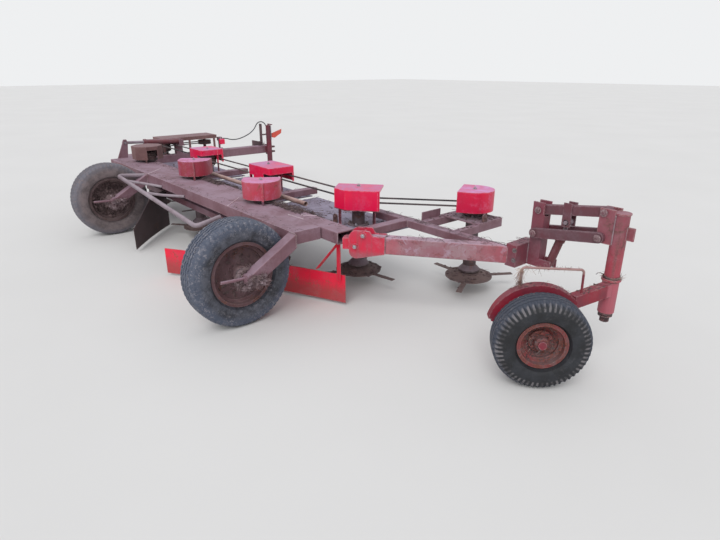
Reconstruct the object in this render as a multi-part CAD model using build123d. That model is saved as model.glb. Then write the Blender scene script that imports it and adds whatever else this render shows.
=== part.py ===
from build123d import *
import math
import os

# Trailed rotary disc mower, built in millimetres.
# +X is the machine's right, +Y is forward, +Z is up, and Z = 0 is the ground.
# Layout places are taken from the right end of the rear rail. SHIFT moves them
# so that the origin lies on the ground under the middle of the whole machine.
SHIFT_X = 1626.75
SHIFT_Y = -533.0

# Rear rail and the cutter frame
RAIL_LEFT = -4620.0
RAIL_RIGHT = -8.0
RAIL_WIDTH = 160.0
RAIL_DEPTH = 90.0
RAIL_TOP = 630.0
RAIL_WALL = 8.0
RAIL_CORNER = 12.0
CROSS_WIDTH = 80.0
CROSS_DEPTH = 60.0
CROSS_WALL = 6.0
CROSS_TOP = 600.0
FRONT_Y = 640.0
FRONT_LEFT = -400.0
FRONT_RIGHT = 905.0
SIDE_X = -4440.0
SIDE_WIDTH = 120.0
SIDE_DEPTH = 110.0
SIDE_FRONT = 1130.0
DECK_TOP = 506.0
DECK_THICK = 6.0
DECK_FRONT = 760.0
FIT_GAP = 0.3

# Rotors, one for each step across the machine in a zigzag
ROTOR_PITCH = 690.0
FIRST_ROTOR_X = 270.0
FRONT_ROW_Y = 1050.0
MIDDLE_ROW_Y = 455.0
REAR_ROW_Y = 0.0
SHAFT_RADIUS = 20.0
HOUSING_RADIUS = 52.0
HOUSING_BOTTOM = 165.0
HOUSING_TOP = 634.0
SHAFT_GAP = 1.0
DISC_RADIUS = 188.0
DISC_Z = 112.0
DISC_THICK = 8.0
BLADE_COUNT = 3
BLADE_REACH = 372.0
BLADE_WIDTH = 42.0
BLADE_THICK = 5.0
PULLEY_RADIUS = 90.0
GROOVE_RADIUS = 78.0
PULLEY_BOTTOM = 642.0
PULLEY_TOP = 743.0
NUT_RISE = 12.0

# Belts
BELT_THICK = 10.0
BELT_HEIGHT = 12.0
GROOVE_HEIGHT = 15.0
LOW_BELT_Z = 652.0
MIDDLE_BELT_Z = 708.0
TOP_BELT_Z = 730.0

# Hats over the pulleys
HAT_TOP = 815.0
HAT_BOTTOM = 668.0
HAT_WALL = 4.0
HAT_RADIUS = 150.0
LEG_WIDTH = 30.0
LEG_THICK = 6.0

# Rocking axle
AXLE_Y = -102.0
AXLE_Z = 505.0
BEAM_FRONT = -92.0
BEAM_WIDTH = 232.0
BEAM_DEPTH = 90.0
BEAM_TOP = 635.0
BEAM_WALL = 9.0
BEAM_LEFT = -4300.0
BEAM_RIGHT = -190.0
ARM_SIZE = 90.0
ARM_WALL = 8.0
ARM_INSET = 20.0
LUG_THICK = 16.0
LUG_RADIUS = 34.0
PIN_RADIUS = 16.0
LEVER_PIN_Y = -120.0
LEVER_PIN_Z = 815.0

# Land wheels
WHEEL_Y = -674.0
WHEEL_Z = 380.0
RIGHT_WHEEL_X = -375.0
LEFT_WHEEL_X = -3250.0
TYRE_RADIUS = 380.0
TYRE_WIDTH = 222.0
RIM_SEAT = 216.0
RIM_FLANGE = 232.0
RIM_WIDTH = 165.0
RIM_PLATE = 6.0
HUB_RADIUS = 55.0
STUB_RADIUS = 24.0

# Castor wheel on its parallel links
POST_X = 1025.0
POST_Y = 770.0
POST_SIZE = 85.0
POST_BOTTOM = 492.0
POST_TOP = 835.0
EAR_TOP = 912.0
LINK_PIN_X = 1025.0
LOWER_PIN_Z = 717.0
LINK_SPREAD = 145.0
LINK_RUN = 415.0
LINK_RISE = 65.0
LINK_PIN_RADIUS = 14.0
UPPER_LINK_WIDTH = 50.0
UPPER_LINK_DEPTH = 58.0
LOWER_LINK_THICK = 25.0
LOWER_LINK_DEPTH = 62.0
SIDE_GAP = 5.5
KINGPIN_X = 1526.0
KINGPIN_RADIUS = 43.0
KINGPIN_TOP = 938.0
COLLAR_Z = 532.0
KING_SHAFT_RADIUS = 27.0
SLEEVE_RADIUS = 47.0
SLEEVE_TOP = 526.0
SLEEVE_BOTTOM = 330.0
CASTOR_TURN = -45.0
CASTOR_TRAIL = 446.0
CASTOR_OFFSET = 300.0
CASTOR_RADIUS = 272.0
CASTOR_WIDTH = 195.0
CASTOR_SEAT = 126.0
CASTOR_FLANGE = 140.0
CASTOR_RIM_WIDTH = 140.0
CASTOR_HUB = 40.0

# Hydraulic rams
RAM_FOOT_X = 1122.0
RAM_FOOT_Z = 520.0
RAM_EYE_X = 1212.0
RAM_EYE_Z = 818.0
RAM_RADIUS = 26.0
ROD_RADIUS = 14.0
EYE_RADIUS = 24.0
EYE_WIDTH = 30.0
PISTON_REST = 95.0
RAM_BARREL = 205.0
RAM_PIN_RADIUS = 12.0
LINK_HOLE_RADIUS = 18.6
LEVER_HOLE_RADIUS = 18.4
LIFT_FOOT_Y = 600.0
LIFT_FOOT_Z = 782.0
LIFT_BARREL = 480.0
LIFT_RADIUS = 32.0
LIFT_ROD_RADIUS = 18.0

# Drawbar and jack
HITCH_Y = 2080.0
DRAW_TOP = 600.0
DRAW_SIZE = 110.0
JACK_X = -4325.0
JACK_Y = 1960.0
JACK_RADIUS = 38.0
JACK_LEG_RADIUS = 30.0
JACK_TOP = 900.0
JACK_FOOT = 100.0


def step_x(step):
    """Place of a rotor across the machine, counted in pitches from the right."""
    return FIRST_ROTOR_X - step * ROTOR_PITCH


# name, pitches from the right, row
ROTORS = [
    ("c1", 0, FRONT_ROW_Y),
    ("b1", 1, MIDDLE_ROW_Y),
    ("a1", 2, REAR_ROW_Y),
    ("b2", 3, MIDDLE_ROW_Y),
    ("a2", 4, REAR_ROW_Y),
    ("b3", 5, MIDDLE_ROW_Y),
    ("a3", 6, REAR_ROW_Y),
    ("b4", 7, MIDDLE_ROW_Y),
]

nodes = {}


def keep(name, *solids):
    """File one node; like pieces that don't touch share it."""
    whole = solids[0] if len(solids) == 1 else Compound(children=list(solids))
    nodes[name] = whole.moved(Location((SHIFT_X, SHIFT_Y, 0)))


def frame_of(start, end):
    """Plane across a bar at its start: its X is level, its Y is upward."""
    along = Vector(*end) - Vector(*start)
    across = Vector(0, 0, 1).cross(along)
    if across.length < 1e-6:
        across = Vector(1, 0, 0)
    return Plane(origin=start, x_dir=across, z_dir=along), along.length


def bar(start, end, width, depth, corner=0.0):
    plane, length = frame_of(start, end)
    outline = RectangleRounded(width, depth, corner) if corner else Rectangle(width, depth)
    return extrude(plane * outline, amount=length)


def box_section(start, end, width, depth, wall, corner=8.0):
    """Rolled rectangular hollow section with its ends open."""
    plane, length = frame_of(start, end)
    outline = RectangleRounded(width, depth, corner)
    outline -= RectangleRounded(width - 2 * wall, depth - 2 * wall, max(corner - wall, 1.0))
    return extrude(plane * outline, amount=length)


def rod(start, end, radius):
    plane, length = frame_of(start, end)
    return extrude(plane * Circle(radius), amount=length)


def upright(x, y, bottom, top, radius):
    return rod((x, y, bottom), (x, y, top), radius)


def plate_xz(points, y, thick):
    """Plate standing across the machine, its outline given in x and z."""
    face = make_face(Polyline([(x, z) for x, z in points], close=True))
    plane = Plane(origin=(0, y + thick / 2, 0), x_dir=(1, 0, 0), z_dir=(0, -1, 0))
    return extrude(plane * face, amount=thick)


def plate_yz(points, x, thick):
    """Plate standing fore and aft, its outline given in y and z."""
    face = make_face(Polyline([(y, z) for y, z in points], close=True))
    plane = Plane(origin=(x - thick / 2, 0, 0), x_dir=(0, 1, 0), z_dir=(1, 0, 0))
    return extrude(plane * face, amount=thick)


def slab(x0, x1, y0, y1, z0, z1):
    return Pos((x0 + x1) / 2, (y0 + y1) / 2, (z0 + z1) / 2) * Box(x1 - x0, y1 - y0, z1 - z0)


def bent_rod(points, radius, bend):
    path = FilletPolyline(*points, radius=bend)
    plane = Plane(origin=path @ 0, z_dir=path % 0)
    return sweep(plane * Circle(radius), path=path)


# Rear rail, bored for the rear row of spindle housings
def rear_rail():
    mid = RAIL_TOP - RAIL_DEPTH / 2
    rail = box_section((RAIL_LEFT, 0, mid), (RAIL_RIGHT, 0, mid), RAIL_WIDTH, RAIL_DEPTH, RAIL_WALL,
                       RAIL_CORNER)
    for name, step, row in ROTORS:
        if row == REAR_ROW_Y:
            rail -= upright(step_x(step), row, RAIL_TOP - 2 * RAIL_DEPTH, RAIL_TOP + RAIL_DEPTH,
                            HOUSING_RADIUS + FIT_GAP)
    return rail


keep("rear_rail", rear_rail())

cross_mid = CROSS_TOP - CROSS_DEPTH / 2
rail_face = RAIL_WIDTH / 2

# x place, front end
CROSS_MEMBERS = [(-50.0, FRONT_Y - CROSS_WIDTH / 2), (-1455.0, DECK_FRONT), (-2835.0, DECK_FRONT)]
keep("cross_members", *[
    box_section((x, rail_face, cross_mid), (x, front, cross_mid), CROSS_WIDTH, CROSS_DEPTH, CROSS_WALL)
    for x, front in CROSS_MEMBERS])

keep("front_rail", box_section((FRONT_LEFT, FRONT_Y, cross_mid), (FRONT_RIGHT, FRONT_Y, cross_mid),
                               CROSS_WIDTH, CROSS_DEPTH, CROSS_WALL))

# Outrigger that carries the front right rotor
OUTRIGGER_X = (90.0, 420.0)
OUTRIGGER_FRONT = 1190.0
front_face = FRONT_Y + CROSS_WIDTH / 2
outrigger = slab(OUTRIGGER_X[0] - 25, OUTRIGGER_X[1] + 25, 900.0, OUTRIGGER_FRONT, CROSS_TOP - 1,
                 CROSS_TOP + 9)
for x in OUTRIGGER_X:
    outrigger += box_section((x, front_face, cross_mid), (x, OUTRIGGER_FRONT, cross_mid), 50.0, CROSS_DEPTH,
                             5.0, 6.0)
outrigger += slab(OUTRIGGER_X[0] - 25, OUTRIGGER_X[0] - 17, front_face + 4, 890, CROSS_TOP - 1,
                  CROSS_TOP + 62)
outrigger -= upright(FIRST_ROTOR_X, FRONT_ROW_Y, 300, 700, HOUSING_RADIUS + FIT_GAP)
keep("rotor_outrigger", outrigger)

side_mid = DRAW_TOP - SIDE_DEPTH / 2
side_left = SIDE_X - SIDE_WIDTH / 2
side_right = SIDE_X + SIDE_WIDTH / 2
side_member = box_section((SIDE_X, rail_face, side_mid), (SIDE_X, SIDE_FRONT, side_mid),
                          SIDE_WIDTH, SIDE_DEPTH, RAIL_WALL, RAIL_CORNER)

# Slanting arm from the rail's right end to the castor corner
ARM_START = (95.0, 30.0)
ARM_END = (938.0, 668.0)
ARM_DEPTH = 118.0
ARM_WIDTH = 80.0
ARM_TOP = 620.0
arm_mid = ARM_TOP - ARM_DEPTH / 2
arm_long = math.hypot(ARM_END[0] - ARM_START[0], ARM_END[1] - ARM_START[1])
arm_u = ((ARM_END[0] - ARM_START[0]) / arm_long, (ARM_END[1] - ARM_START[1]) / arm_long)


def arm_point(along, aside, z):
    """Point in the slanting arm's own frame: along it and to its right."""
    return (ARM_START[0] + along * arm_u[0] + aside * arm_u[1],
            ARM_START[1] + along * arm_u[1] - aside * arm_u[0], z)


arm = box_section(arm_point(0, 0, arm_mid), arm_point(arm_long, 0, arm_mid),
                  ARM_WIDTH, ARM_DEPTH, CROSS_WALL)
keep("slanting_arm", arm - slab(-500, FRONT_RIGHT + FIT_GAP, FRONT_Y - CROSS_WIDTH / 2 - FIT_GAP, 1000, 300,
                                900))


# Red bracket at the rail's end: a rounded plate on each side of the arm's root
BRACKET_THICK = 12.0
BRACKET_BACK = 60.0
BRACKET_AHEAD = 190.0
BRACKET_LOW = 462.0
BRACKET_HIGH = 662.0
LUG_BACK = 108.0


def bracket_plate(aside):
    face = make_face(Polyline([(-BRACKET_BACK, BRACKET_HIGH), (-BRACKET_BACK, BRACKET_LOW),
                               (-5, BRACKET_LOW), (BRACKET_AHEAD, ARM_TOP - ARM_DEPTH),
                               (BRACKET_AHEAD, ARM_TOP + 4), (110, ARM_TOP + 4),
                               (85, BRACKET_HIGH)], close=True))
    face = fillet(face.vertices().filter_by(lambda v: v.X < -BRACKET_BACK + 1), 52.0)
    plane = Plane(origin=arm_point(0, aside, 0), x_dir=(arm_u[0], arm_u[1], 0),
                  z_dir=(arm_u[1], -arm_u[0], 0))
    return extrude(plane * face, amount=BRACKET_THICK)


side_out = ARM_WIDTH / 2
bracket_solids = bracket_plate(side_out) + bracket_plate(-side_out - BRACKET_THICK)
lug = bar(arm_point(-LUG_BACK, 0, arm_mid), arm_point(-2, 0, arm_mid), ARM_WIDTH, 80.0)
lug -= slab(-400, RAIL_RIGHT, -rail_face, rail_face, 300, 900)
BOLTS = [(42.0, 634.0), (-15.0, 552.0)]
bolts = [rod(arm_point(s, -side_out - BRACKET_THICK - 14, z),
             arm_point(s, side_out + BRACKET_THICK + 14, z), 12.0)
         for s, z in BOLTS]
bolt_heads = [rod(arm_point(s, side_out + BRACKET_THICK, z), arm_point(s, side_out + BRACKET_THICK + 12, z),
                  20.0)
              for s, z in BOLTS]
bracket = bracket_solids + lug - slab(-400, RAIL_RIGHT + FIT_GAP, -rail_face, rail_face, 300, 900)
for one in bolts + bolt_heads:
    bracket += one
keep("arm_bracket", bracket)

# Corner where the slanting arm meets the front rail and the castor post
corner = slab(FRONT_RIGHT, POST_X - POST_SIZE / 2, FRONT_Y - 42, FRONT_Y + 170, POST_BOTTOM, ARM_TOP + 20)
corner -= bar(arm_point(arm_long - 300, 0, arm_mid), arm_point(arm_long, 0, arm_mid),
              ARM_WIDTH + 2 * FIT_GAP, ARM_DEPTH + 2 * FIT_GAP)
post = corner + bar((POST_X, POST_Y, POST_BOTTOM), (POST_X, POST_Y, POST_TOP), POST_SIZE, POST_SIZE, 8.0)
ear_gap = UPPER_LINK_WIDTH / 2 + SIDE_GAP
ear_out = POST_SIZE / 2
for sign in (-1, 1):
    y_mid = POST_Y + sign * (ear_gap + ear_out) / 2
    post += slab(POST_X - 40, POST_X + 40, y_mid - (ear_out - ear_gap) / 2, y_mid + (ear_out - ear_gap) / 2,
                 POST_TOP - 1, EAR_TOP)
upper_pin_z = LOWER_PIN_Z + LINK_SPREAD
post -= rod((LINK_PIN_X, POST_Y - 100, LOWER_PIN_Z), (LINK_PIN_X, POST_Y + 100, LOWER_PIN_Z),
            LINK_PIN_RADIUS + FIT_GAP)
post -= rod((LINK_PIN_X, POST_Y - 100, upper_pin_z), (LINK_PIN_X, POST_Y + 100, upper_pin_z),
            LINK_PIN_RADIUS + FIT_GAP)
post -= slab(POST_X - 60, POST_X + 60, POST_Y - ear_gap, POST_Y + ear_gap,
             upper_pin_z - UPPER_LINK_DEPTH / 2 - 8, EAR_TOP + 10)
foot_ear = RAM_RADIUS + SIDE_GAP + 5
ram_ears = [slab(POST_X + POST_SIZE / 2 - 8, RAM_FOOT_X + 26, POST_Y + side * foot_ear - 5,
                 POST_Y + side * foot_ear + 5,
                 POST_BOTTOM, RAM_FOOT_Z + 26) for side in (-1, 1)]
foot_pin = rod((RAM_FOOT_X, POST_Y - foot_ear - 8, RAM_FOOT_Z),
               (RAM_FOOT_X, POST_Y + foot_ear + 8, RAM_FOOT_Z),
               RAM_PIN_RADIUS)
for piece in ram_ears + [foot_pin]:
    post += piece
keep("castor_post", post)

# Deck sheets between the rails, bored for the middle row
def deck_sheet(x0, x1):
    sheet = slab(x0, x1, rail_face + 2, DECK_FRONT - 2, DECK_TOP - DECK_THICK, DECK_TOP)
    for name, step, row in ROTORS:
        if row == MIDDLE_ROW_Y and x0 < step_x(step) < x1:
            sheet -= upright(step_x(step), row, 400, 600, HOUSING_RADIUS + FIT_GAP)
    return sheet


keep("deck_sheets", deck_sheet(side_right + FIT_GAP, -2835 - CROSS_WIDTH / 2),
     deck_sheet(-2835 + CROSS_WIDTH / 2, -1455 - CROSS_WIDTH / 2),
     deck_sheet(-1455 + CROSS_WIDTH / 2, -50 - CROSS_WIDTH / 2))


# Spindle housings: a tube with a mud-cone flange and a bearing cap
def housing(x, y):
    profile = Polyline([(SHAFT_RADIUS + SHAFT_GAP, HOUSING_BOTTOM), (HOUSING_RADIUS + 34, HOUSING_BOTTOM),
                        (HOUSING_RADIUS + 34, HOUSING_BOTTOM + 12), (HOUSING_RADIUS, HOUSING_BOTTOM + 46),
                        (HOUSING_RADIUS, HOUSING_TOP - 18), (HOUSING_RADIUS - 10, HOUSING_TOP),
                        (SHAFT_RADIUS + SHAFT_GAP, HOUSING_TOP)], close=True)
    ring = revolve(Plane.XZ * make_face(profile), Axis.Z)
    return Pos(x, y, 0) * ring


keep("spindle_housings", *[housing(step_x(step), row) for name, step, row in ROTORS])


# Rotors: shaft, dished disc, swinging blades and a three-groove pulley
def rotor(x, y, turn):
    half = GROOVE_HEIGHT / 2
    disc_top = DISC_Z + DISC_THICK
    points = [(0, 70), (60, 70), (95, 88), (DISC_RADIUS - 26, DISC_Z), (DISC_RADIUS, DISC_Z),
              (DISC_RADIUS, disc_top), (DISC_RADIUS - 30, disc_top), (110, disc_top + 26),
              (62, disc_top + 36), (SHAFT_RADIUS, disc_top + 36), (SHAFT_RADIUS, PULLEY_BOTTOM)]
    points.append((PULLEY_RADIUS, PULLEY_BOTTOM))
    for z in (LOW_BELT_Z, MIDDLE_BELT_Z, TOP_BELT_Z):
        points += [(PULLEY_RADIUS, z - half), (GROOVE_RADIUS, z - half),
                   (GROOVE_RADIUS, z + half), (PULLEY_RADIUS, z + half)]
    points += [(PULLEY_RADIUS, PULLEY_TOP), (34, PULLEY_TOP), (34, PULLEY_TOP + NUT_RISE),
               (0, PULLEY_TOP + NUT_RISE)]
    body = revolve(Plane.XZ * make_face(Polyline(points, close=True)), Axis.Z)
    for i in range(BLADE_COUNT):
        blade = slab(DISC_RADIUS - 46, BLADE_REACH, -BLADE_WIDTH / 2, BLADE_WIDTH / 2,
                     DISC_Z - BLADE_THICK, DISC_Z)
        blade += upright(DISC_RADIUS - 22, 0, DISC_Z - BLADE_THICK - 8, disc_top + 10, 11.0)
        body += Rot(0, 0, turn + i * 360 / BLADE_COUNT) * blade
    return Pos(x, y, 0) * body


BLADE_TURN = [-62.0, 9.0, 10.0, 50.0, 95.0, 20.0, 75.0, 40.0]
for (name, step, row), turn in zip(ROTORS, BLADE_TURN):
    keep("rotor_" + name, rotor(step_x(step), row, turn))

belt_inner = GROOVE_RADIUS + 1.0
belt_outer = belt_inner + BELT_THICK

# Places of the hats against their spindles, and the way each opens along its belt
HAT_SHIFT = {"a1": -55.0, "a2": -30.0, "a3": -20.0, "b3": -30.0}
REAR_HAT_TURN = 143.0
BELT_TURN = 40.8
NOSE_TURN = 30.0


def hat_x(name, step):
    return step_x(step) + HAT_SHIFT.get(name, 0.0)


def shell_of(face, bottom, top, wall, mouth):
    """Sheet-metal cap: walls and a lid, open below and through its mouth."""
    outside = extrude(Pos(0, 0, bottom) * face, amount=top - bottom)
    inside = extrude(Pos(0, 0, bottom - 1) * offset(face, -wall, kind=Kind.INTERSECTION),
                     amount=top - wall - bottom + 1)
    return outside - inside - mouth


def hat_face(radius, reach):
    """Round behind, flat ahead: a half circle with a short straight part."""
    outline = [Line((reach, -radius), (0, -radius)),
               ThreePointArc((0, -radius), (-radius, 0), (0, radius)),
               Line((0, radius), (reach, radius)), Line((reach, radius), (reach, -radius))]
    return make_face(outline)


def leg(x, y, foot, top=HAT_TOP):
    """Flat strap that stands a hat on the frame."""
    return slab(x - LEG_WIDTH / 2, x + LEG_WIDTH / 2, y - LEG_THICK / 2, y + LEG_THICK / 2, foot,
                top - HAT_WALL)


REAR_LEG_Y = -74.0
REAR_HAT_RADIUS = 160.0
MIDDLE_LEG = (125.0, 60.0)


def rear_hat(name, step):
    """Hat whose round side faces back and whose flat side is open toward the middle row."""
    reach = 105.0
    mouth = slab(reach - 40, reach + 40, -REAR_HAT_RADIUS + 14, REAR_HAT_RADIUS - 14, HAT_BOTTOM - 10,
                 HAT_TOP - 14)
    shell = shell_of(hat_face(REAR_HAT_RADIUS, reach), HAT_BOTTOM, HAT_TOP, HAT_WALL, mouth)
    shell = Rot(0, 0, REAR_HAT_TURN) * shell
    for x in (142.0, -142.0):
        shell += leg(x, REAR_LEG_Y, RAIL_TOP)
    return Pos(hat_x(name, step), 0, 0) * shell


keep("rear_hats", rear_hat("a1", 2), rear_hat("a2", 4))


def clipped_hat(name, step, row):
    """Box hat set along its belt: its left corner is clipped and its right end is open."""
    left, right, near, far = -180.0, 190.0, -165.0, 100.0
    face = make_face(Polyline([(left + 100, near), (right - 12, near), (right, near + 12), (right, far),
                               (left, far),
                               (left, near + 80)], close=True))
    mouth = slab(right - 30, right + 30, near + 24, far + 20, HAT_BOTTOM - 40, HAT_TOP - 14)
    shell = shell_of(face, HAT_BOTTOM - 14, HAT_TOP, HAT_WALL, mouth)
    shell = Rot(0, 0, BELT_TURN) * shell
    shell -= slab(-400, 0, -belt_outer - 8, belt_outer + 8, HAT_BOTTOM - 40, TOP_BELT_Z + 16)
    shell += leg(MIDDLE_LEG[0], MIDDLE_LEG[1], DECK_TOP) + leg(-100.0, -112.0, DECK_TOP)
    return Pos(step_x(step), row, 0) * shell


keep("hat_b1", clipped_hat("b1", 1, MIDDLE_ROW_Y))


def long_hat(name, step, row, left, right, notch):
    """Box hat on the middle row with the hand notch at its lower left."""
    width = 280.0
    face = fillet(Rectangle(left + right, width).vertices(), 26.0)
    face = Pos((right - left) / 2, 0) * face
    mouth = slab(-left - 30, -left + 30, -width / 2 + 40, width / 2 - 40, HAT_BOTTOM - 10, HAT_TOP - 30)
    mouth += slab(right - 120, right + 30, -width / 2 - 20, width / 2 - 30, HAT_BOTTOM - 10, HAT_TOP - 62)
    mouth += slab(-left + 30, -left + 30 + notch, -width / 2 - 30, -width / 2 + 30, HAT_BOTTOM - 10,
                  HAT_BOTTOM + 48)
    shell = shell_of(face, HAT_BOTTOM, HAT_TOP, HAT_WALL, mouth)
    for side in (-1, 1):
        shell += leg(side * MIDDLE_LEG[0] - HAT_SHIFT.get(name, 0.0), MIDDLE_LEG[1], DECK_TOP)
    return Pos(hat_x(name, step), row, 0) * shell


keep("middle_hats", long_hat("b2", 3, MIDDLE_ROW_Y, 160.0, 250.0, 70.0),
     long_hat("b3", 5, MIDDLE_ROW_Y, 170.0, 165.0, 80.0))


def nose_hat():
    """Front right hat: flat and open toward the belts, rounded at its far end."""
    reach = 110.0
    face = Rot(0, 0, 180) * hat_face(HAT_RADIUS, reach)
    mouth = slab(-reach - 40, -reach + 40, -HAT_RADIUS + 16, HAT_RADIUS - 16, HAT_BOTTOM - 10, HAT_TOP - 14)
    shell = shell_of(face, HAT_BOTTOM, HAT_TOP + 12, HAT_WALL, mouth)
    for x, y in ((60.0, 95.0), (100.0, -55.0)):
        shell += leg(x, y, CROSS_TOP + 9, HAT_TOP + 12)
    return Pos(FIRST_ROTOR_X, FRONT_ROW_Y, 0) * (Rot(0, 0, NOSE_TURN) * shell)


keep("hat_c1", nose_hat())


def tall_cover():
    """Rusty many-sided cover over the last rear rotor."""
    face = RegularPolygon(178.0, 8, rotation=22.5)
    mouth = slab(110, 220, -60, 60, HAT_BOTTOM - 60, HAT_TOP - 40)
    mouth += slab(-60, 60, 110, 220, HAT_BOTTOM - 60, HAT_TOP - 40)
    shell = shell_of(face, HAT_BOTTOM - 4, HAT_TOP + 4, HAT_WALL, mouth)
    for side in (-1, 1):
        shell += leg(side * 120.0 - HAT_SHIFT["a3"], REAR_LEG_Y, RAIL_TOP, HAT_TOP + 4)
    return Pos(hat_x("a3", 6), 0, 0) * shell


keep("cover_a3", tall_cover())

# Flat cover over the left rotor and the drive pulley, on four straps
COVER_LEFT = -4735.0
COVER_RIGHT = -4400.0
COVER_BACK = 380.0
COVER_FRONT = 1160.0
COVER_TOP = 815.0
COVER_DEPTH = 45.0
LEFT_ROTOR_X = step_x(7)
cover_lid = slab(COVER_LEFT, COVER_RIGHT, COVER_BACK, COVER_FRONT, COVER_TOP - COVER_DEPTH, COVER_TOP)
cover_lid -= slab(COVER_LEFT + 4, COVER_RIGHT - 4, COVER_BACK + 4, COVER_FRONT - 4,
                  COVER_TOP - 60, COVER_TOP - 4)
for strap_y in (402.0, 760.0, 1120.0):
    cover_lid += slab(side_right - 28, side_right - 22, strap_y - 15, strap_y + 15, DRAW_TOP, COVER_TOP - 4)
keep("drive_cover", cover_lid)

# Plate that holds the left rotor's spindle off the side member
SHELF_TOP = DRAW_TOP - 20
shelf = slab(LEFT_ROTOR_X - 90, side_left, MIDDLE_ROW_Y - 95, MIDDLE_ROW_Y + 95, SHELF_TOP - 14, SHELF_TOP)
side_member += shelf - upright(LEFT_ROTOR_X, MIDDLE_ROW_Y, 400, 700, HOUSING_RADIUS + FIT_GAP)

# Gearbox with its drive pulley, and the shaft from the tractor
GEAR_X = side_left - 60.0
GEAR_Y = 1050.0
GEAR_HALF = 75.0
INPUT_Z = 560.0
gearbox = fillet((Pos(GEAR_X - 20, GEAR_Y, 555) * Box(2 * GEAR_HALF - 2, 170, 150)).edges(), 14.0)
gearbox += slab(GEAR_X - 60, side_left, GEAR_Y - 50, GEAR_Y + 50, 520, 532)
gearbox += upright(GEAR_X - 20, GEAR_Y, 620, PULLEY_TOP + NUT_RISE, SHAFT_RADIUS)
pulley = Polyline([(SHAFT_RADIUS - 1, PULLEY_BOTTOM + 40), (PULLEY_RADIUS, PULLEY_BOTTOM + 40),
                   (PULLEY_RADIUS, MIDDLE_BELT_Z - GROOVE_HEIGHT / 2),
                   (GROOVE_RADIUS, MIDDLE_BELT_Z - GROOVE_HEIGHT / 2),
                   (GROOVE_RADIUS, MIDDLE_BELT_Z + GROOVE_HEIGHT / 2),
                   (PULLEY_RADIUS, MIDDLE_BELT_Z + GROOVE_HEIGHT / 2),
                   (PULLEY_RADIUS, PULLEY_TOP - 10), (SHAFT_RADIUS - 1, PULLEY_TOP - 10)], close=True)
gearbox += Pos(GEAR_X - 20, GEAR_Y, 0) * (Rot(0, 0, 40) * revolve(Plane.XZ * make_face(pulley), Axis.Z))
gearbox += rod((GEAR_X - 20, GEAR_Y + 80, INPUT_Z), (GEAR_X - 20, GEAR_Y + 200, INPUT_Z), 24.0)
keep("gearbox", gearbox)

# Belts between neighbouring pulleys: start, end, height
def belt(start, end, z):
    """Flat loop of belt round two equal pulleys."""
    dx, dy = end[0] - start[0], end[1] - start[1]
    reach = math.hypot(dx, dy)
    loop = SlotCenterToCenter(reach, 2 * belt_outer) - SlotCenterToCenter(reach, 2 * belt_inner)
    turned = Rot(0, 0, math.degrees(math.atan2(dy, dx))) * extrude(loop, amount=BELT_HEIGHT)
    return Pos((start[0] + end[0]) / 2, (start[1] + end[1]) / 2, z - BELT_HEIGHT / 2) * turned


place = {name: (step_x(step), row) for name, step, row in ROTORS}
BELTS = [("b4", "b3", TOP_BELT_Z), ("b3", "b2", MIDDLE_BELT_Z), ("b2", "b1", TOP_BELT_Z),
         ("b1", "c1", MIDDLE_BELT_Z), ("b2", "a1", LOW_BELT_Z), ("b3", "a2", LOW_BELT_Z),
         ("b4", "a3", LOW_BELT_Z)]
loops = [belt(place[one], place[two], z) for one, two, z in BELTS]
loops.append(belt(place["b4"], (GEAR_X - 20, GEAR_Y), MIDDLE_BELT_Z))
keep("drive_belts", *loops)

# Open-ended pipe laid along the deck on the cross members
PIPE_RADIUS = 20.0
PIPE_WALL = 3.0
PIPE_Y = 250.0
pipe_z = CROSS_TOP + PIPE_RADIUS + FIT_GAP
keep("deck_pipe", rod((-2940, PIPE_Y, pipe_z), (-870, PIPE_Y, pipe_z), PIPE_RADIUS)
     - rod((-2950, PIPE_Y, pipe_z), (-860, PIPE_Y, pipe_z), PIPE_RADIUS - PIPE_WALL))

# Lower rear rail hung under the rear rail on straps
LOW_RAIL_LEFT = -3700.0
LOW_RAIL_RIGHT = -1400.0
LOW_RAIL_Z = 400.0
LOW_RAIL_SIZE = 60.0
LOW_RAIL_BACK = -130.0
rail_bottom = RAIL_TOP - RAIL_DEPTH
low_rail = slab(LOW_RAIL_LEFT, LOW_RAIL_RIGHT, LOW_RAIL_BACK, LOW_RAIL_BACK + 6, LOW_RAIL_Z - LOW_RAIL_SIZE,
                LOW_RAIL_Z)
low_rail += slab(LOW_RAIL_LEFT, LOW_RAIL_RIGHT, LOW_RAIL_BACK, LOW_RAIL_BACK + LOW_RAIL_SIZE,
                 LOW_RAIL_Z - 6, LOW_RAIL_Z)
for hanger_x in (LOW_RAIL_LEFT + 60, -2835.0, -2140.0, LOW_RAIL_RIGHT - 60):
    low_rail += slab(hanger_x - 30, hanger_x + 30, LOW_RAIL_BACK + LOW_RAIL_SIZE - 8,
                     LOW_RAIL_BACK + LOW_RAIL_SIZE, LOW_RAIL_Z - 6, rail_bottom)
keep("lower_rear_rail", low_rail)

# Windrow boards: curved plates on edge that gather the cut crop behind the rotors
BOARD_THICK = 5.0


def curved_board(points, bottom, top):
    """Plate on edge along an arc through three plan points."""
    arc = ThreePointArc(*[(x, y) for x, y in points])
    strip = thicken_line(arc)
    return extrude(Pos(0, 0, bottom) * strip, amount=top - bottom)


def thicken_line(arc):
    """Plan face of a plate: the arc and its parallel, closed at the ends."""
    across = [Vector(-(arc % t).Y, (arc % t).X) * BOARD_THICK for t in (0, 0.5, 1)]
    far = [(arc @ t) + step for t, step in zip((0, 0.5, 1), across)]
    return make_face([arc, Line(arc @ 1, far[2]), ThreePointArc(far[2], far[1], far[0]),
                      Line(far[0], arc @ 0)])


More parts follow.
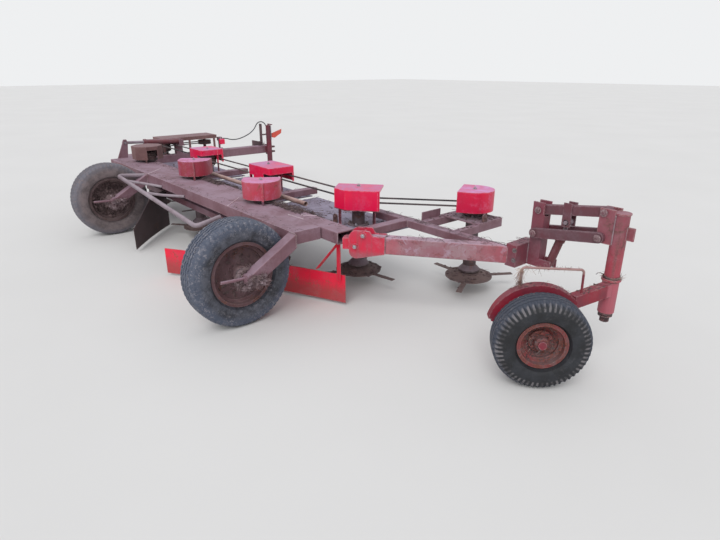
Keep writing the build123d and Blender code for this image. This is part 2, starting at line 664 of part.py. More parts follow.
RIGHT_BOARD = [(-100.0, 62.0), (-560.0, -145.0), (-1600.0, -730.0)]
LEFT_BOARD = [(-3085.0, -133.8), (-2790.0, -420.0), (-2410.0, -730.0)]
RIGHT_BOARD_TOP = 250.0
LEFT_BOARD_TOP = 428.0
BOARD_BOTTOM = 25.0
right_board = curved_board(RIGHT_BOARD, BOARD_BOTTOM, RIGHT_BOARD_TOP)
right_board += slab(-160, -120, 26, 34, 200, rail_bottom)
right_board += bar((-140, 30, 500), (-330, -28, 262), 40, 8) - slab(-400, 0, -200, 200, rail_bottom, 700)
far_strap = bar((-1430, LOW_RAIL_BACK + 20, 380), (-1430, -618, 215), 40, 8)
right_board += far_strap - slab(-1500, -1350, LOW_RAIL_BACK - FIT_GAP, 0, 300, 500)
keep("right_windrow_board", right_board)
left_board = curved_board(LEFT_BOARD, BOARD_BOTTOM, LEFT_BOARD_TOP)
slope = plate_xz([(-2960, 500), (-2300, 500), (-2300, 205), (-2560, 285)], -400, 900)
keep("left_windrow_board", left_board - slope)

# Rocking axle: a wide channel with an arm for each land wheel and a lift lever
beam_mid_y = BEAM_FRONT - BEAM_WIDTH / 2
beam_back = BEAM_FRONT - BEAM_WIDTH
channel = slab(BEAM_LEFT, BEAM_RIGHT, beam_back, BEAM_FRONT, BEAM_TOP - BEAM_DEPTH, BEAM_TOP)
channel -= slab(BEAM_LEFT - 1, BEAM_RIGHT - BEAM_WALL, beam_back + BEAM_WALL, BEAM_FRONT - BEAM_WALL,
                BEAM_TOP - BEAM_DEPTH - 1, BEAM_TOP - BEAM_WALL)
keep("axle_beam", channel)


def arm_top(wheel_x):
    return (wheel_x + TYRE_WIDTH / 2 + ARM_INSET + ARM_SIZE / 2, beam_back + 120, 650)


def arm_hub(wheel_x):
    return (wheel_x + TYRE_WIDTH / 2 + ARM_INSET + ARM_SIZE / 2, WHEEL_Y + 10, WHEEL_Z)


def wheel_arm(wheel_x):
    """Square arm from the beam back and down to the wheel, with its stub and scraper rod."""
    x = arm_top(wheel_x)[0]
    arm_piece = box_section(arm_top(wheel_x), arm_hub(wheel_x), ARM_SIZE, ARM_SIZE, ARM_WALL)
    arm_piece -= slab(x - 100, x + 100, beam_back, 0, 300, 900)
    arm_piece += rod((x + ARM_SIZE / 2, WHEEL_Y, WHEEL_Z), (x - ARM_SIZE / 2, WHEEL_Y, WHEEL_Z), 46.0)
    arm_piece += rod((x, WHEEL_Y, WHEEL_Z), (wheel_x - 66, WHEEL_Y, WHEEL_Z), STUB_RADIUS)
    arm_piece += rod((x, WHEEL_Y - 30, WHEEL_Z + 12), (x, WHEEL_Y - 210, WHEEL_Z + 22), 11.0)
    return arm_piece


keep("wheel_arms", wheel_arm(RIGHT_WHEEL_X), wheel_arm(LEFT_WHEEL_X))

# Hinge lugs under the seam between rear rail and axle beam
LUG_X = [-420.0, -1780.0, -3160.0, -4330.0]
lug_low = AXLE_Z


def rail_lug(x):
    plate = plate_yz([(-78, rail_bottom), (-60, rail_bottom), (-60, lug_low - LUG_RADIUS),
                      (AXLE_Y, lug_low - LUG_RADIUS),
                      (AXLE_Y - LUG_RADIUS, lug_low), (AXLE_Y, lug_low + LUG_RADIUS - 2)], x, LUG_THICK)
    return plate


rail_lugs = []
for x in LUG_X:
    plate = rail_lug(x) + rod((x - 34, AXLE_Y, AXLE_Z), (x + 34, AXLE_Y, AXLE_Z), PIN_RADIUS)
    rail_lugs.append(plate)
keep("axle_hinge_pins", *rail_lugs)


def beam_lug(x, side):
    centre = x + side * (LUG_THICK + 2)
    plate = plate_yz([(AXLE_Y - 60, BEAM_TOP - BEAM_DEPTH), (AXLE_Y + 9, BEAM_TOP - BEAM_DEPTH),
                      (AXLE_Y + 22, AXLE_Z + 12), (AXLE_Y + 22, AXLE_Z - 18), (AXLE_Y, AXLE_Z - LUG_RADIUS),
                      (AXLE_Y - 26, AXLE_Z - 22)], centre, LUG_THICK)
    return plate - rod((centre - 30, AXLE_Y, AXLE_Z), (centre + 30, AXLE_Y, AXLE_Z), PIN_RADIUS + FIT_GAP)


keep("axle_hinge_lugs", *[beam_lug(x, side) for x in LUG_X for side in (-1, 1)])

# Lift lever at the beam's left end
lever = plate_yz([(beam_back + 30, BEAM_TOP - BEAM_DEPTH + 5), (BEAM_FRONT - 20, BEAM_TOP - BEAM_DEPTH + 5),
                  (BEAM_FRONT - 20, BEAM_TOP), (LEVER_PIN_Y + 30, LEVER_PIN_Z),
                  (LEVER_PIN_Y + 18, LEVER_PIN_Z + 42),
                  (LEVER_PIN_Y - 18, LEVER_PIN_Z + 42), (LEVER_PIN_Y - 34, LEVER_PIN_Z),
                  (beam_back + 90, BEAM_TOP)],
                 BEAM_LEFT - 9, 18)
lever -= rod((BEAM_LEFT - 60, LEVER_PIN_Y, LEVER_PIN_Z), (BEAM_LEFT + 10, LEVER_PIN_Y, LEVER_PIN_Z),
             LEVER_HOLE_RADIUS)
keep("lift_lever", lever)

# Rams: a barrel with its foot eye, and a rod with its own eye
X_DIR = (1, 0, 0)
Y_DIR = (0, 1, 0)


def eye(centre, axis_dir, width):
    half = Vector(*axis_dir) * (width / 2)
    return rod(tuple(Vector(*centre) - half), tuple(Vector(*centre) + half), EYE_RADIUS)


def eye_bore(centre, axis_dir):
    reach = Vector(*axis_dir) * (2 * EYE_WIDTH)
    return rod(tuple(Vector(*centre) - reach), tuple(Vector(*centre) + reach), RAM_PIN_RADIUS + FIT_GAP)


def eye_pin(centre, axis_dir, back, ahead):
    """Pin held in a rod's eye, standing out of it by unequal ends."""
    along = Vector(*axis_dir)
    return rod(tuple(Vector(*centre) - along * back), tuple(Vector(*centre) + along * ahead), RAM_PIN_RADIUS)


def ram(foot, head, axis_dir, barrel_radius, rod_radius, barrel_length):
    """Barrel bored for its foot pin, and rod whose eye holds the head pin."""
    run = Vector(*head) - Vector(*foot)
    u = run.normalized()

    def at(along):
        return tuple(Vector(*foot) + u * along)

    inside = rod_radius + FIT_GAP
    barrel = rod(at(EYE_RADIUS - 6), at(barrel_length), barrel_radius)
    barrel += rod(at(barrel_length - 34), at(barrel_length), barrel_radius + 5)
    barrel -= rod(at(EYE_RADIUS + 24), at(barrel_length + 10), inside)
    barrel += eye(foot, axis_dir, 2 * barrel_radius - 4)
    barrel -= eye_bore(foot, axis_dir)
    stem = rod(at(PISTON_REST), at(run.length - EYE_RADIUS + 6), rod_radius)
    stem += eye(head, axis_dir, EYE_WIDTH)
    return barrel, stem


# Lift ram between the lever and a bracket on the left side member
LIFT_X = BEAM_LEFT - 42.0
lift_barrel, lift_rod = ram((LIFT_X, LIFT_FOOT_Y, LIFT_FOOT_Z), (LIFT_X, LEVER_PIN_Y, LEVER_PIN_Z),
                            X_DIR, LIFT_RADIUS, LIFT_ROD_RADIUS, LIFT_BARREL)
lift_rod += eye_pin((LIFT_X, LEVER_PIN_Y, LEVER_PIN_Z), X_DIR, 24, 56)
keep("lift_ram_barrel", lift_barrel)
keep("lift_ram_rod", lift_rod)
ear_shift = LIFT_RADIUS + SIDE_GAP + 5
ram_stand = slab(SIDE_X - 26, side_right, LIFT_FOOT_Y - 42, LIFT_FOOT_Y + 42, DRAW_TOP - 1, LIFT_FOOT_Z - 62)
ram_stand += slab(SIDE_X - 26, LIFT_X + ear_shift + 5, LIFT_FOOT_Y - 42, LIFT_FOOT_Y + 42,
                  LIFT_FOOT_Z - 62, LIFT_FOOT_Z - 50)
for side in (-1, 1):
    ram_stand += slab(LIFT_X + side * ear_shift - 5, LIFT_X + side * ear_shift + 5,
                      LIFT_FOOT_Y - 30, LIFT_FOOT_Y + 30, LIFT_FOOT_Z - 50, LIFT_FOOT_Z + 26)
ram_stand += rod((LIFT_X - ear_shift - 8, LIFT_FOOT_Y, LIFT_FOOT_Z),
                 (LIFT_X + ear_shift + 8, LIFT_FOOT_Y, LIFT_FOOT_Z),
                 RAM_PIN_RADIUS)
keep("left_side_member", side_member + ram_stand)

# Guard pipe behind the axle, bent at both ends, on two bent struts
GUARD_RADIUS = 20.0
STRUT_RADIUS = 13.0
guard = bent_rod([(-3090, beam_back, 612), (-3090, -605, 640), (-1330, -545, 468),
                  (-1300, beam_back - 6, 520)],
                 GUARD_RADIUS, 55.0)
for path_points in ([(-2950, -602, 615), (-2790, -450, 585), (-2620, beam_back, 562)],
                    [(-2450, -585, 570), (-2280, -450, 552), (-2050, beam_back, 560)]):
    guard += bent_rod(path_points, STRUT_RADIUS, 60.0)
guard -= slab(BEAM_LEFT, BEAM_RIGHT, beam_back, BEAM_FRONT, BEAM_TOP - BEAM_DEPTH, BEAM_TOP)
guard -= bar(arm_top(LEFT_WHEEL_X), arm_hub(LEFT_WHEEL_X), ARM_SIZE + 2 * FIT_GAP, ARM_SIZE + 2 * FIT_GAP)
keep("rear_guard", guard)


# Wheels: tyre and pressed rim, turned about their axle, which lies along X
def tyre(radius, width, seat, flange, rim_width):
    half = width / 2
    bead = rim_width / 2 - RIM_PLATE
    bulge = (radius + flange) / 2 - 8
    shoulder = (radius - 16, half - 14)
    outline = [Line((seat + FIT_GAP, -bead), (seat + FIT_GAP, bead)),
               Line((seat + FIT_GAP, bead), (flange + 2, bead)),
               ThreePointArc((flange + 2, bead), (bulge, half), shoulder),
               ThreePointArc(shoulder, (radius - 4.6, 0.36 * width), (radius, 0.27 * width)),
               Line((radius, 0.27 * width), (radius, -0.27 * width)),
               ThreePointArc((radius, -0.27 * width), (radius - 4.6, -0.36 * width),
                             (radius - 16, -half + 14)),
               ThreePointArc((radius - 16, -half + 14), (bulge, -half), (flange + 2, -bead)),
               Line((flange + 2, -bead), (seat + FIT_GAP, -bead))]
    whole = revolve(Plane.XZ * make_face(outline), Axis.Z)
    for y in TREAD_GROOVES:
        ring = extrude(Pos(0, 0, y * width - 4) * (Circle(radius + 5) - Circle(radius - 9)), amount=8)
        whole -= ring
    return whole


def rim(seat, flange, rim_width, bore, hub, plate_shift):
    half = rim_width / 2
    t = RIM_PLATE
    well = seat - 24
    hub_half = 52.0
    plate_z = plate_shift
    outline = [(flange, half), (flange, half - t), (seat, half - t), (seat - 4, half - 34), (well, half - 46),
               (well, -half + 46), (seat - 4, -half + 34), (seat, -half + t), (flange, -half + t),
               (flange, -half),
               (seat - t, -half), (seat - 4 - t, -half + 32), (well - t, -half + 42),
               (well - t, plate_z - t), (0.62 * well, plate_z - 16 - t), (hub + 26, plate_z + 4 - t),
               (hub, plate_z + 4 - t), (hub, -hub_half), (bore, -hub_half),
               (bore, hub_half + 8), (hub - 8, hub_half + 8), (hub, hub_half),
               (hub, plate_z + 4), (hub + 26, plate_z + 4), (0.62 * well, plate_z - 16),
               (well - t, plate_z), (well - t, half - 42), (seat - 4 - t, half - 32), (seat - t, half)]
    whole = revolve(Plane.XZ * make_face(Polyline(outline, close=True)), Axis.Z)
    nuts = [Rot(0, 0, i * 60) * (Pos(hub + 14, 0, plate_z + 4) * Cylinder(8, 26)) for i in range(6)]
    for nut in nuts:
        whole += nut
    return whole


TREAD_GROOVES = (-0.2, -0.07, 0.07, 0.2)
lie_down = Rot(0, 90, 0)


def land_wheel(side, x):
    spot = Pos(x, WHEEL_Y, WHEEL_Z) * lie_down
    keep(side + "_tyre", spot * tyre(TYRE_RADIUS, TYRE_WIDTH, RIM_SEAT, RIM_FLANGE, RIM_WIDTH))
    keep(side + "_rim", spot * rim(RIM_SEAT, RIM_FLANGE, RIM_WIDTH, STUB_RADIUS + FIT_GAP, HUB_RADIUS, 10.0))


land_wheel("right", RIGHT_WHEEL_X)
land_wheel("left", LEFT_WHEEL_X)

# Castor: everything in the castor's own frame, whose origin is the kingpin axis
# on the ground, whose Y points the way the wheel rolls and whose X is its axle
castor_frame = Pos(KINGPIN_X, POST_Y, 0) * Rot(0, 0, CASTOR_TURN)
wheel_spot = Pos(CASTOR_OFFSET, -CASTOR_TRAIL, CASTOR_RADIUS) * lie_down
keep("castor_tyre", castor_frame * (wheel_spot * tyre(CASTOR_RADIUS, CASTOR_WIDTH, CASTOR_SEAT, CASTOR_FLANGE,
                                                      CASTOR_RIM_WIDTH)))
keep("castor_rim", castor_frame * (wheel_spot * rim(CASTOR_SEAT, CASTOR_FLANGE, CASTOR_RIM_WIDTH,
                                                    STUB_RADIUS + FIT_GAP, CASTOR_HUB, 10.0)))

# Castor arm: a sleeve on the kingpin shaft and a bowed arm round the tyre's far side
BOW_IN = 240.0
BOW_OUT = 284.0
BOW_X = 158.0
BOW_THICK = 60.0
BOW_FROM = 40.0
BOW_TO = 166.0


def bow_point(radius, degrees):
    turn = math.radians(degrees)
    return (-CASTOR_TRAIL + radius * math.cos(turn), CASTOR_RADIUS + radius * math.sin(turn))


def castor_arm():
    mid = (BOW_FROM + BOW_TO) / 2
    a, b, c = (bow_point(BOW_OUT, d) for d in (BOW_FROM, mid, BOW_TO))
    d, e, f = (bow_point(BOW_IN, g) for g in (BOW_TO, mid, BOW_FROM))
    face = make_face([ThreePointArc(a, b, c), Line(c, d), ThreePointArc(d, e, f), Line(f, a)])
    plane = Plane(origin=(BOW_X - BOW_THICK / 2, 0, 0), x_dir=(0, 1, 0), z_dir=(1, 0, 0))
    bow = extrude(plane * face, amount=BOW_THICK)
    root_z = SLEEVE_TOP - 43
    root_y, root_h = bow_point((BOW_IN + BOW_OUT) / 2, BOW_FROM + 4)
    piece = bar((20, -16, root_z), (BOW_X, root_y, root_h), 58, 78)
    tail_y, tail_z = bow_point((BOW_IN + BOW_OUT) / 2, BOW_TO - 4)
    piece += bar((BOW_X, tail_y, tail_z), (BOW_X, -CASTOR_TRAIL, CASTOR_RADIUS), BOW_THICK, 60)
    piece += bow
    piece += upright(0, 0, SLEEVE_BOTTOM, SLEEVE_TOP, SLEEVE_RADIUS)
    piece -= upright(0, 0, SLEEVE_BOTTOM - 10, SLEEVE_TOP + 10, KING_SHAFT_RADIUS + FIT_GAP)
    hub_x = BOW_X - BOW_THICK / 2 - 10
    piece += rod((hub_x, -CASTOR_TRAIL, CASTOR_RADIUS), (BOW_X + 36, -CASTOR_TRAIL, CASTOR_RADIUS), 44.0)
    piece += rod((hub_x, -CASTOR_TRAIL, CASTOR_RADIUS), (CASTOR_OFFSET + 70, -CASTOR_TRAIL, CASTOR_RADIUS),
                 STUB_RADIUS)
    return piece


handle = bent_rod([(BOW_X, -560, 520), (BOW_X, -556, 652), (BOW_X - 14, -212, 642),
                   (BOW_X - 20, -205, 470)], 7.0, 20.0)
keep("castor_arm", castor_frame * (castor_arm() + handle))

# Kingpin: a tube on the links with the castor's shaft below it
king = upright(KINGPIN_X, POST_Y, COLLAR_Z + 14, KINGPIN_TOP - 8, KINGPIN_RADIUS)
king += upright(KINGPIN_X, POST_Y, KINGPIN_TOP - 8, KINGPIN_TOP, KINGPIN_RADIUS + 5)
king += upright(KINGPIN_X, POST_Y, COLLAR_Z, COLLAR_Z + 14, KINGPIN_RADIUS + 12)
king += upright(KINGPIN_X, POST_Y, SLEEVE_BOTTOM - 62, COLLAR_Z, KING_SHAFT_RADIUS)
king += upright(KINGPIN_X, POST_Y, SLEEVE_BOTTOM - 26, SLEEVE_BOTTOM - 6, KING_SHAFT_RADIUS + 14)
far_pin_x = LINK_PIN_X + LINK_RUN
far_low_z = LOWER_PIN_Z + LINK_RISE
far_high_z = far_low_z + LINK_SPREAD
for side in (-1, 1):
    y_in = POST_Y + side * (ear_gap)
    y_out = POST_Y + side * (ear_gap + 11)
    king += slab(far_pin_x - 26, KINGPIN_X - 20, min(y_in, y_out), max(y_in, y_out), far_low_z - 34,
                 far_high_z + 26)
king += slab(KINGPIN_X + 40, KINGPIN_X + 84, POST_Y - 6, POST_Y + 6, 786, 862)
king += upright(KINGPIN_X, POST_Y, COLLAR_Z + 14, KINGPIN_TOP - 8, KINGPIN_RADIUS)
for z in (far_low_z, far_high_z):
    king -= rod((far_pin_x, POST_Y - 100, z), (far_pin_x, POST_Y + 100, z), LINK_PIN_RADIUS + FIT_GAP)
keep("kingpin_tube", king)


# Parallel links between post and kingpin tube
def link_bar(low_z, y0, y1, depth):
    """Round-ended flat link between the post pin and the kingpin pin."""
    length = math.hypot(LINK_RUN, LINK_RISE)
    tilt = math.degrees(math.atan2(LINK_RISE, LINK_RUN))
    outline = Pos(LINK_PIN_X, low_z) * (Rot(0, 0, tilt) * (Pos(length / 2, 0) * SlotCenterToCenter(length,
                                                                                                   depth)))
    plane = Plane(origin=(0, y1, 0), x_dir=(1, 0, 0), z_dir=(0, -1, 0))
    return extrude(plane * outline, amount=y1 - y0)


def link_pins(low_z, y0, y1):
    return [rod((LINK_PIN_X + dx, y0, low_z + dz), (LINK_PIN_X + dx, y1, low_z + dz), LINK_PIN_RADIUS)
            for dx, dz in ((0, 0), (LINK_RUN, LINK_RISE))]


bar_in = POST_SIZE / 2 + SIDE_GAP
bar_out = bar_in + LOWER_LINK_THICK
lower = link_bar(LOWER_PIN_Z, POST_Y - bar_out, POST_Y - bar_in, LOWER_LINK_DEPTH)
lower += link_bar(LOWER_PIN_Z, POST_Y + bar_in, POST_Y + bar_out, LOWER_LINK_DEPTH)
for pin in link_pins(LOWER_PIN_Z, POST_Y - bar_out - 8, POST_Y + bar_out + 8):
    lower += pin
keep("lower_links", lower)

upper = link_bar(upper_pin_z, POST_Y - UPPER_LINK_WIDTH / 2, POST_Y + UPPER_LINK_WIDTH / 2, UPPER_LINK_DEPTH)
for pin in link_pins(upper_pin_z, POST_Y - bar_in, POST_Y + bar_in):
    upper += pin
for side in (-1, 1):
    y_in = POST_Y + side * (UPPER_LINK_WIDTH / 2)
    y_out = POST_Y + side * (UPPER_LINK_WIDTH / 2 + 9)
    upper += slab(RAM_EYE_X - 28, RAM_EYE_X + 28, min(y_in, y_out), max(y_in, y_out), RAM_EYE_Z - 28, 938)
upper -= rod((RAM_EYE_X, POST_Y - 60, RAM_EYE_Z), (RAM_EYE_X, POST_Y + 60, RAM_EYE_Z), LINK_HOLE_RADIUS)
keep("upper_link", upper)

height_barrel, height_rod = ram((RAM_FOOT_X, POST_Y, RAM_FOOT_Z), (RAM_EYE_X, POST_Y, RAM_EYE_Z),
                                Y_DIR, RAM_RADIUS, ROD_RADIUS, RAM_BARREL)
height_rod += eye_pin((RAM_EYE_X, POST_Y, RAM_EYE_Z), Y_DIR, 40, 40)
keep("height_ram_barrel", height_barrel)
keep("height_ram_rod", height_rod)

# Hose from the valve block to its parking place over the post: points in layout x, y and z
HOSE_RADIUS = 7.0
VALVE_Z = 750.0
HOSE_ROUTE = [(-4440, 1265, 750), (-4440, 1320, 750), (-4437, 1385, 726), (-4433, 1455, 720),
              (-4431, 1530, 728), (-4432, 1605, 748), (-4434, 1675, 774), (-4437, 1735, 806),
              (-4439, 1782, 842), (-4440, 1812, 882), (-4440, 1836, 924), (-4440, 1878, 946),
              (-4440, 1925, 946), (-4440, 1966, 922), (-4440, 1990, 880), (-4440, 1997, 834),
              (-4440, 1997, 790)]


def corner_radii(points):
    """Arc for each corner: as large as its two runs allow."""
    radii = []
    for before, here, after in zip(points, points[1:], points[2:]):
        one, two = Vector(*here) - Vector(*before), Vector(*after) - Vector(*here)
        half_turn = math.radians(one.get_angle(two)) / 2
        radii.append(0.45 * min(one.length, two.length) / math.tan(half_turn))
    return radii


hose_radii = corner_radii(HOSE_ROUTE)
hose_path = FilletPolyline(*HOSE_ROUTE, radius=hose_radii)
hose = sweep(Plane(origin=hose_path @ 0, z_dir=hose_path % 0) * Circle(HOSE_RADIUS), path=hose_path)
print("hose length", round(hose_path.length, 1), "smallest arc", round(min(hose_radii), 1),
      "volume ratio", round(hose.volume / (math.pi * HOSE_RADIUS ** 2 * hose_path.length), 4))
keep("hitch_hose", hose)
coupler_y, coupler_top = HOSE_ROUTE[-1][1], HOSE_ROUTE[-1][2]
coupler = upright(SIDE_X, coupler_y, coupler_top - 16, coupler_top, 10.0)
coupler += upright(SIDE_X, coupler_y, 760 + FIT_GAP, coupler_top - 16, 19.0)
coupler += upright(SIDE_X, coupler_y, 705, 760 + FIT_GAP, 13.0)
keep("hose_coupler", coupler)

# Drawbar with its hitch, hose post and parking jack
DRIVE_X = GEAR_X - 20
draw_mid = DRAW_TOP - DRAW_SIZE / 2
drawbar = box_section((SIDE_X, SIDE_FRONT, draw_mid), (SIDE_X, HITCH_Y - 90, draw_mid),
                      DRAW_SIZE, DRAW_SIZE, RAIL_WALL, RAIL_CORNER)
drawbar += slab(SIDE_X - 22, SIDE_X + 22, 1206, 1216, DRAW_TOP - 1, VALVE_Z)
drawbar += slab(SIDE_X - 30, SIDE_X + 30, 1194, 1246, VALVE_Z - 26, VALVE_Z + 26)
drawbar += rod((SIDE_X, 1246, VALVE_Z), (SIDE_X, HOSE_ROUTE[0][1], VALVE_Z), HOSE_RADIUS + 3)
keep("drawbar", drawbar)
HITCH_HOLE = 16.0
hitch = slab(SIDE_X - 50, SIDE_X + 50, HITCH_Y - 90, HITCH_Y - 72, draw_mid - 90, draw_mid + 60)
for z in (draw_mid - 60, draw_mid + 10):
    tongue = slab(SIDE_X - 40, SIDE_X + 40, HITCH_Y - 72, HITCH_Y, z, z + 20)
    tongue += upright(SIDE_X, HITCH_Y, z, z + 20, 40.0)
    hitch += tongue
hitch -= upright(SIDE_X, HITCH_Y, 300, 800, HITCH_HOLE)
keep("hitch_clevis", hitch)
POST_TOP_Z = 915.0
hose_post = slab(SIDE_X - 30, SIDE_X + 30, HITCH_Y - 190, HITCH_Y - 178, DRAW_TOP, POST_TOP_Z)
hose_post += slab(SIDE_X - 45, SIDE_X + 45, HITCH_Y - 178, HITCH_Y - 60, DRAW_TOP + 150, DRAW_TOP + 160)
hose_post += slab(DRIVE_X - 50, SIDE_X + 30, HITCH_Y - 240, HITCH_Y - 220, INPUT_Z - 50, DRAW_TOP + 60)
hose_post += slab(SIDE_X - 30, SIDE_X + 30, HITCH_Y - 221, HITCH_Y - 189, DRAW_TOP, DRAW_TOP + 60)
hose_post -= upright(SIDE_X, coupler_y, 700, 800, 13.0 + FIT_GAP)
hose_post -= rod((DRIVE_X, HITCH_Y - 300, INPUT_Z), (DRIVE_X, HITCH_Y - 200, INPUT_Z), 28.0 + FIT_GAP)
hose_post -= slab(SIDE_X - DRAW_SIZE / 2, SIDE_X + DRAW_SIZE, SIDE_FRONT, HITCH_Y, DRAW_TOP - DRAW_SIZE,
                  DRAW_TOP)
keep("hose_post", hose_post)

jack = upright(JACK_X, JACK_Y, 330, JACK_TOP, JACK_RADIUS) - upright(JACK_X, JACK_Y, 320, JACK_TOP - 30,
                                                                     JACK_LEG_RADIUS + 0.5)
jack += slab(SIDE_X + DRAW_SIZE / 2, JACK_X - JACK_RADIUS + 4, JACK_Y - 35, JACK_Y + 35, draw_mid - 45,
             draw_mid + 45)
jack += upright(JACK_X, JACK_Y, JACK_TOP, JACK_TOP + 22, 10.0)
jack += rod((JACK_X, JACK_Y, JACK_TOP + 16), (JACK_X + 110, JACK_Y, JACK_TOP + 16), 7.0)
keep("jack_tube", jack)
jack_leg = upright(JACK_X, JACK_Y, 8, 700, JACK_LEG_RADIUS)
jack_leg += upright(JACK_X, JACK_Y, 0, 8, JACK_FOOT)
keep("jack_leg", jack_leg)

# Drive shaft from the tractor side to the gearbox, carried at the hose post
shaft_piece = rod((DRIVE_X, GEAR_Y + 200, INPUT_Z), (DRIVE_X, HITCH_Y - 120, INPUT_Z), 28.0)
shaft_piece += rod((DRIVE_X, GEAR_Y + 200, INPUT_Z), (DRIVE_X, GEAR_Y + 270, INPUT_Z), 44.0)
shaft_piece += rod((DRIVE_X, HITCH_Y - 180, INPUT_Z), (DRIVE_X, HITCH_Y - 110, INPUT_Z), 44.0)
keep("drive_shaft", shaft_piece)


def write_all():
    os.makedirs("parts", exist_ok=True)
    for name, shape in nodes.items():
        export_step(shape, "parts/" + name + ".step")
    boxes = [shape.bounding_box() for shape in nodes.values()]
    low = [min(getattr(b.min, axis) for b in boxes) for axis in "XYZ"]
    high = [max(getattr(b.max, axis) for b in boxes) for axis in "XYZ"]
    print(len(nodes), "nodes", [round(v, 2) for v in low], [round(v, 2) for v in high])


write_all()
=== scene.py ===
import math
import random

import bpy
import bmesh
from mathutils import Euler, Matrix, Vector, noise
from mathutils.bvhtree import BVHTree


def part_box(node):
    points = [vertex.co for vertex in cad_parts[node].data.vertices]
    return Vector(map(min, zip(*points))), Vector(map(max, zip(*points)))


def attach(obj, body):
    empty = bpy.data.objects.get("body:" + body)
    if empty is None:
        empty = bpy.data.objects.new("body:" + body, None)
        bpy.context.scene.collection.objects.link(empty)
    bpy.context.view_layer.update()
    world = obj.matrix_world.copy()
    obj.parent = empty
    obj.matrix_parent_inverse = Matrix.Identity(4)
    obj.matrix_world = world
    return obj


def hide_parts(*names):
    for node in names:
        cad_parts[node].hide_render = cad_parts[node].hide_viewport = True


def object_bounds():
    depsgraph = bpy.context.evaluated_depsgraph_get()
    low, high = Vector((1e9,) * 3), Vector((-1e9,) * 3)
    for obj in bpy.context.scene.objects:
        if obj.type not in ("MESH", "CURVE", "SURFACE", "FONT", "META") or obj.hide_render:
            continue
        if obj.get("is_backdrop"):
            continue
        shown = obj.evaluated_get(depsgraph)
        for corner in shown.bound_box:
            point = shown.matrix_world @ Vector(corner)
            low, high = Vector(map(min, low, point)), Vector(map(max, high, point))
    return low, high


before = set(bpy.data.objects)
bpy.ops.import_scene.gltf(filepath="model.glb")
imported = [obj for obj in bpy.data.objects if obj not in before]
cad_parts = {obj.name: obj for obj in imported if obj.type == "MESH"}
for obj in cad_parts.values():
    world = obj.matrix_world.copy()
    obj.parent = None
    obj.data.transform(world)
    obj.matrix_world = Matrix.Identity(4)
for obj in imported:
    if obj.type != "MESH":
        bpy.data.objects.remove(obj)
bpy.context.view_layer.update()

# Places in metres, as the part's source has them, from its layout datum
SHIFT = Vector((1.62675, -0.533, 0.0))
UP = Vector((0, 0, 1))


def at(x, y, z):
    """Point of the machine's layout, given in metres from the rail's right end."""
    return Vector((x, y, z)) + SHIFT


WHEEL_Y, WHEEL_Z = -0.674, 0.380
RIGHT_WHEEL, LEFT_WHEEL = at(-0.375, WHEEL_Y, WHEEL_Z), at(-3.250, WHEEL_Y, WHEEL_Z)
CASTOR_WHEEL = at(1.42276, 0.242498, 0.272)
CASTOR_OUT = Vector((0.70711, -0.70711, 0.0))    # along the castor's axle
CASTOR_ALONG = Vector((0.70711, 0.70711, 0.0))   # level, square to it
KINGPIN_X, KINGPIN_Y = 1.526, 0.770
HINGE_Y, HINGE_Z = -0.102, 0.505
ARM_ALONG = Vector((0.79738, 0.60348, 0.0))
ARM_SIDE = Vector((0.60348, -0.79738, 0.0))
ARM_START = 1.0694                               # the arm's foot, measured along it
RAIL_SIDE, RAIL_TOP = 0.0805, 0.630              # where the rear rail's seams and bolts lie
BEAM_TOP = 0.6348                                # where the axle beam's seams lie
JACK_Z = 0.780                                   # the flag's height on the jack's tube
ROTOR_PITCH, FIRST_ROTOR_X = 0.690, 0.270


def arm_spot(along, aside, z):
    """Point in the slanting arm's own frame."""
    return at(0.095, 0.030, z) + ARM_ALONG * along + ARM_SIDE * aside


def flat(turn, z=0.0):
    """Level unit step at a turn, raised by z."""
    return Vector((math.cos(turn), math.sin(turn), z))


def tint(seen):
    """Colour typed as seen on a screen, in six hex digits, made linear."""
    def one(c):
        c /= 255.0
        return c / 12.92 if c <= 0.04045 else ((c + 0.055) / 1.055) ** 2.4
    return (*(one(int(seen[i:i + 2], 16)) for i in (0, 2, 4)), 1.0)


# ---- shared shader groups

def new_group(name, inputs, outputs):
    """Node group of plain values: inputs with their defaults, and outputs."""
    tree = bpy.data.node_groups.new(name, "ShaderNodeTree")
    for label, default in inputs.items():
        socket = tree.interface.new_socket(label, in_out="INPUT", socket_type="NodeSocketFloat")
        socket.default_value = default
    for label in outputs:
        tree.interface.new_socket(label, in_out="OUTPUT", socket_type="NodeSocketFloat")
    return tree, tree.nodes.new("NodeGroupInput"), tree.nodes.new("NodeGroupOutput")


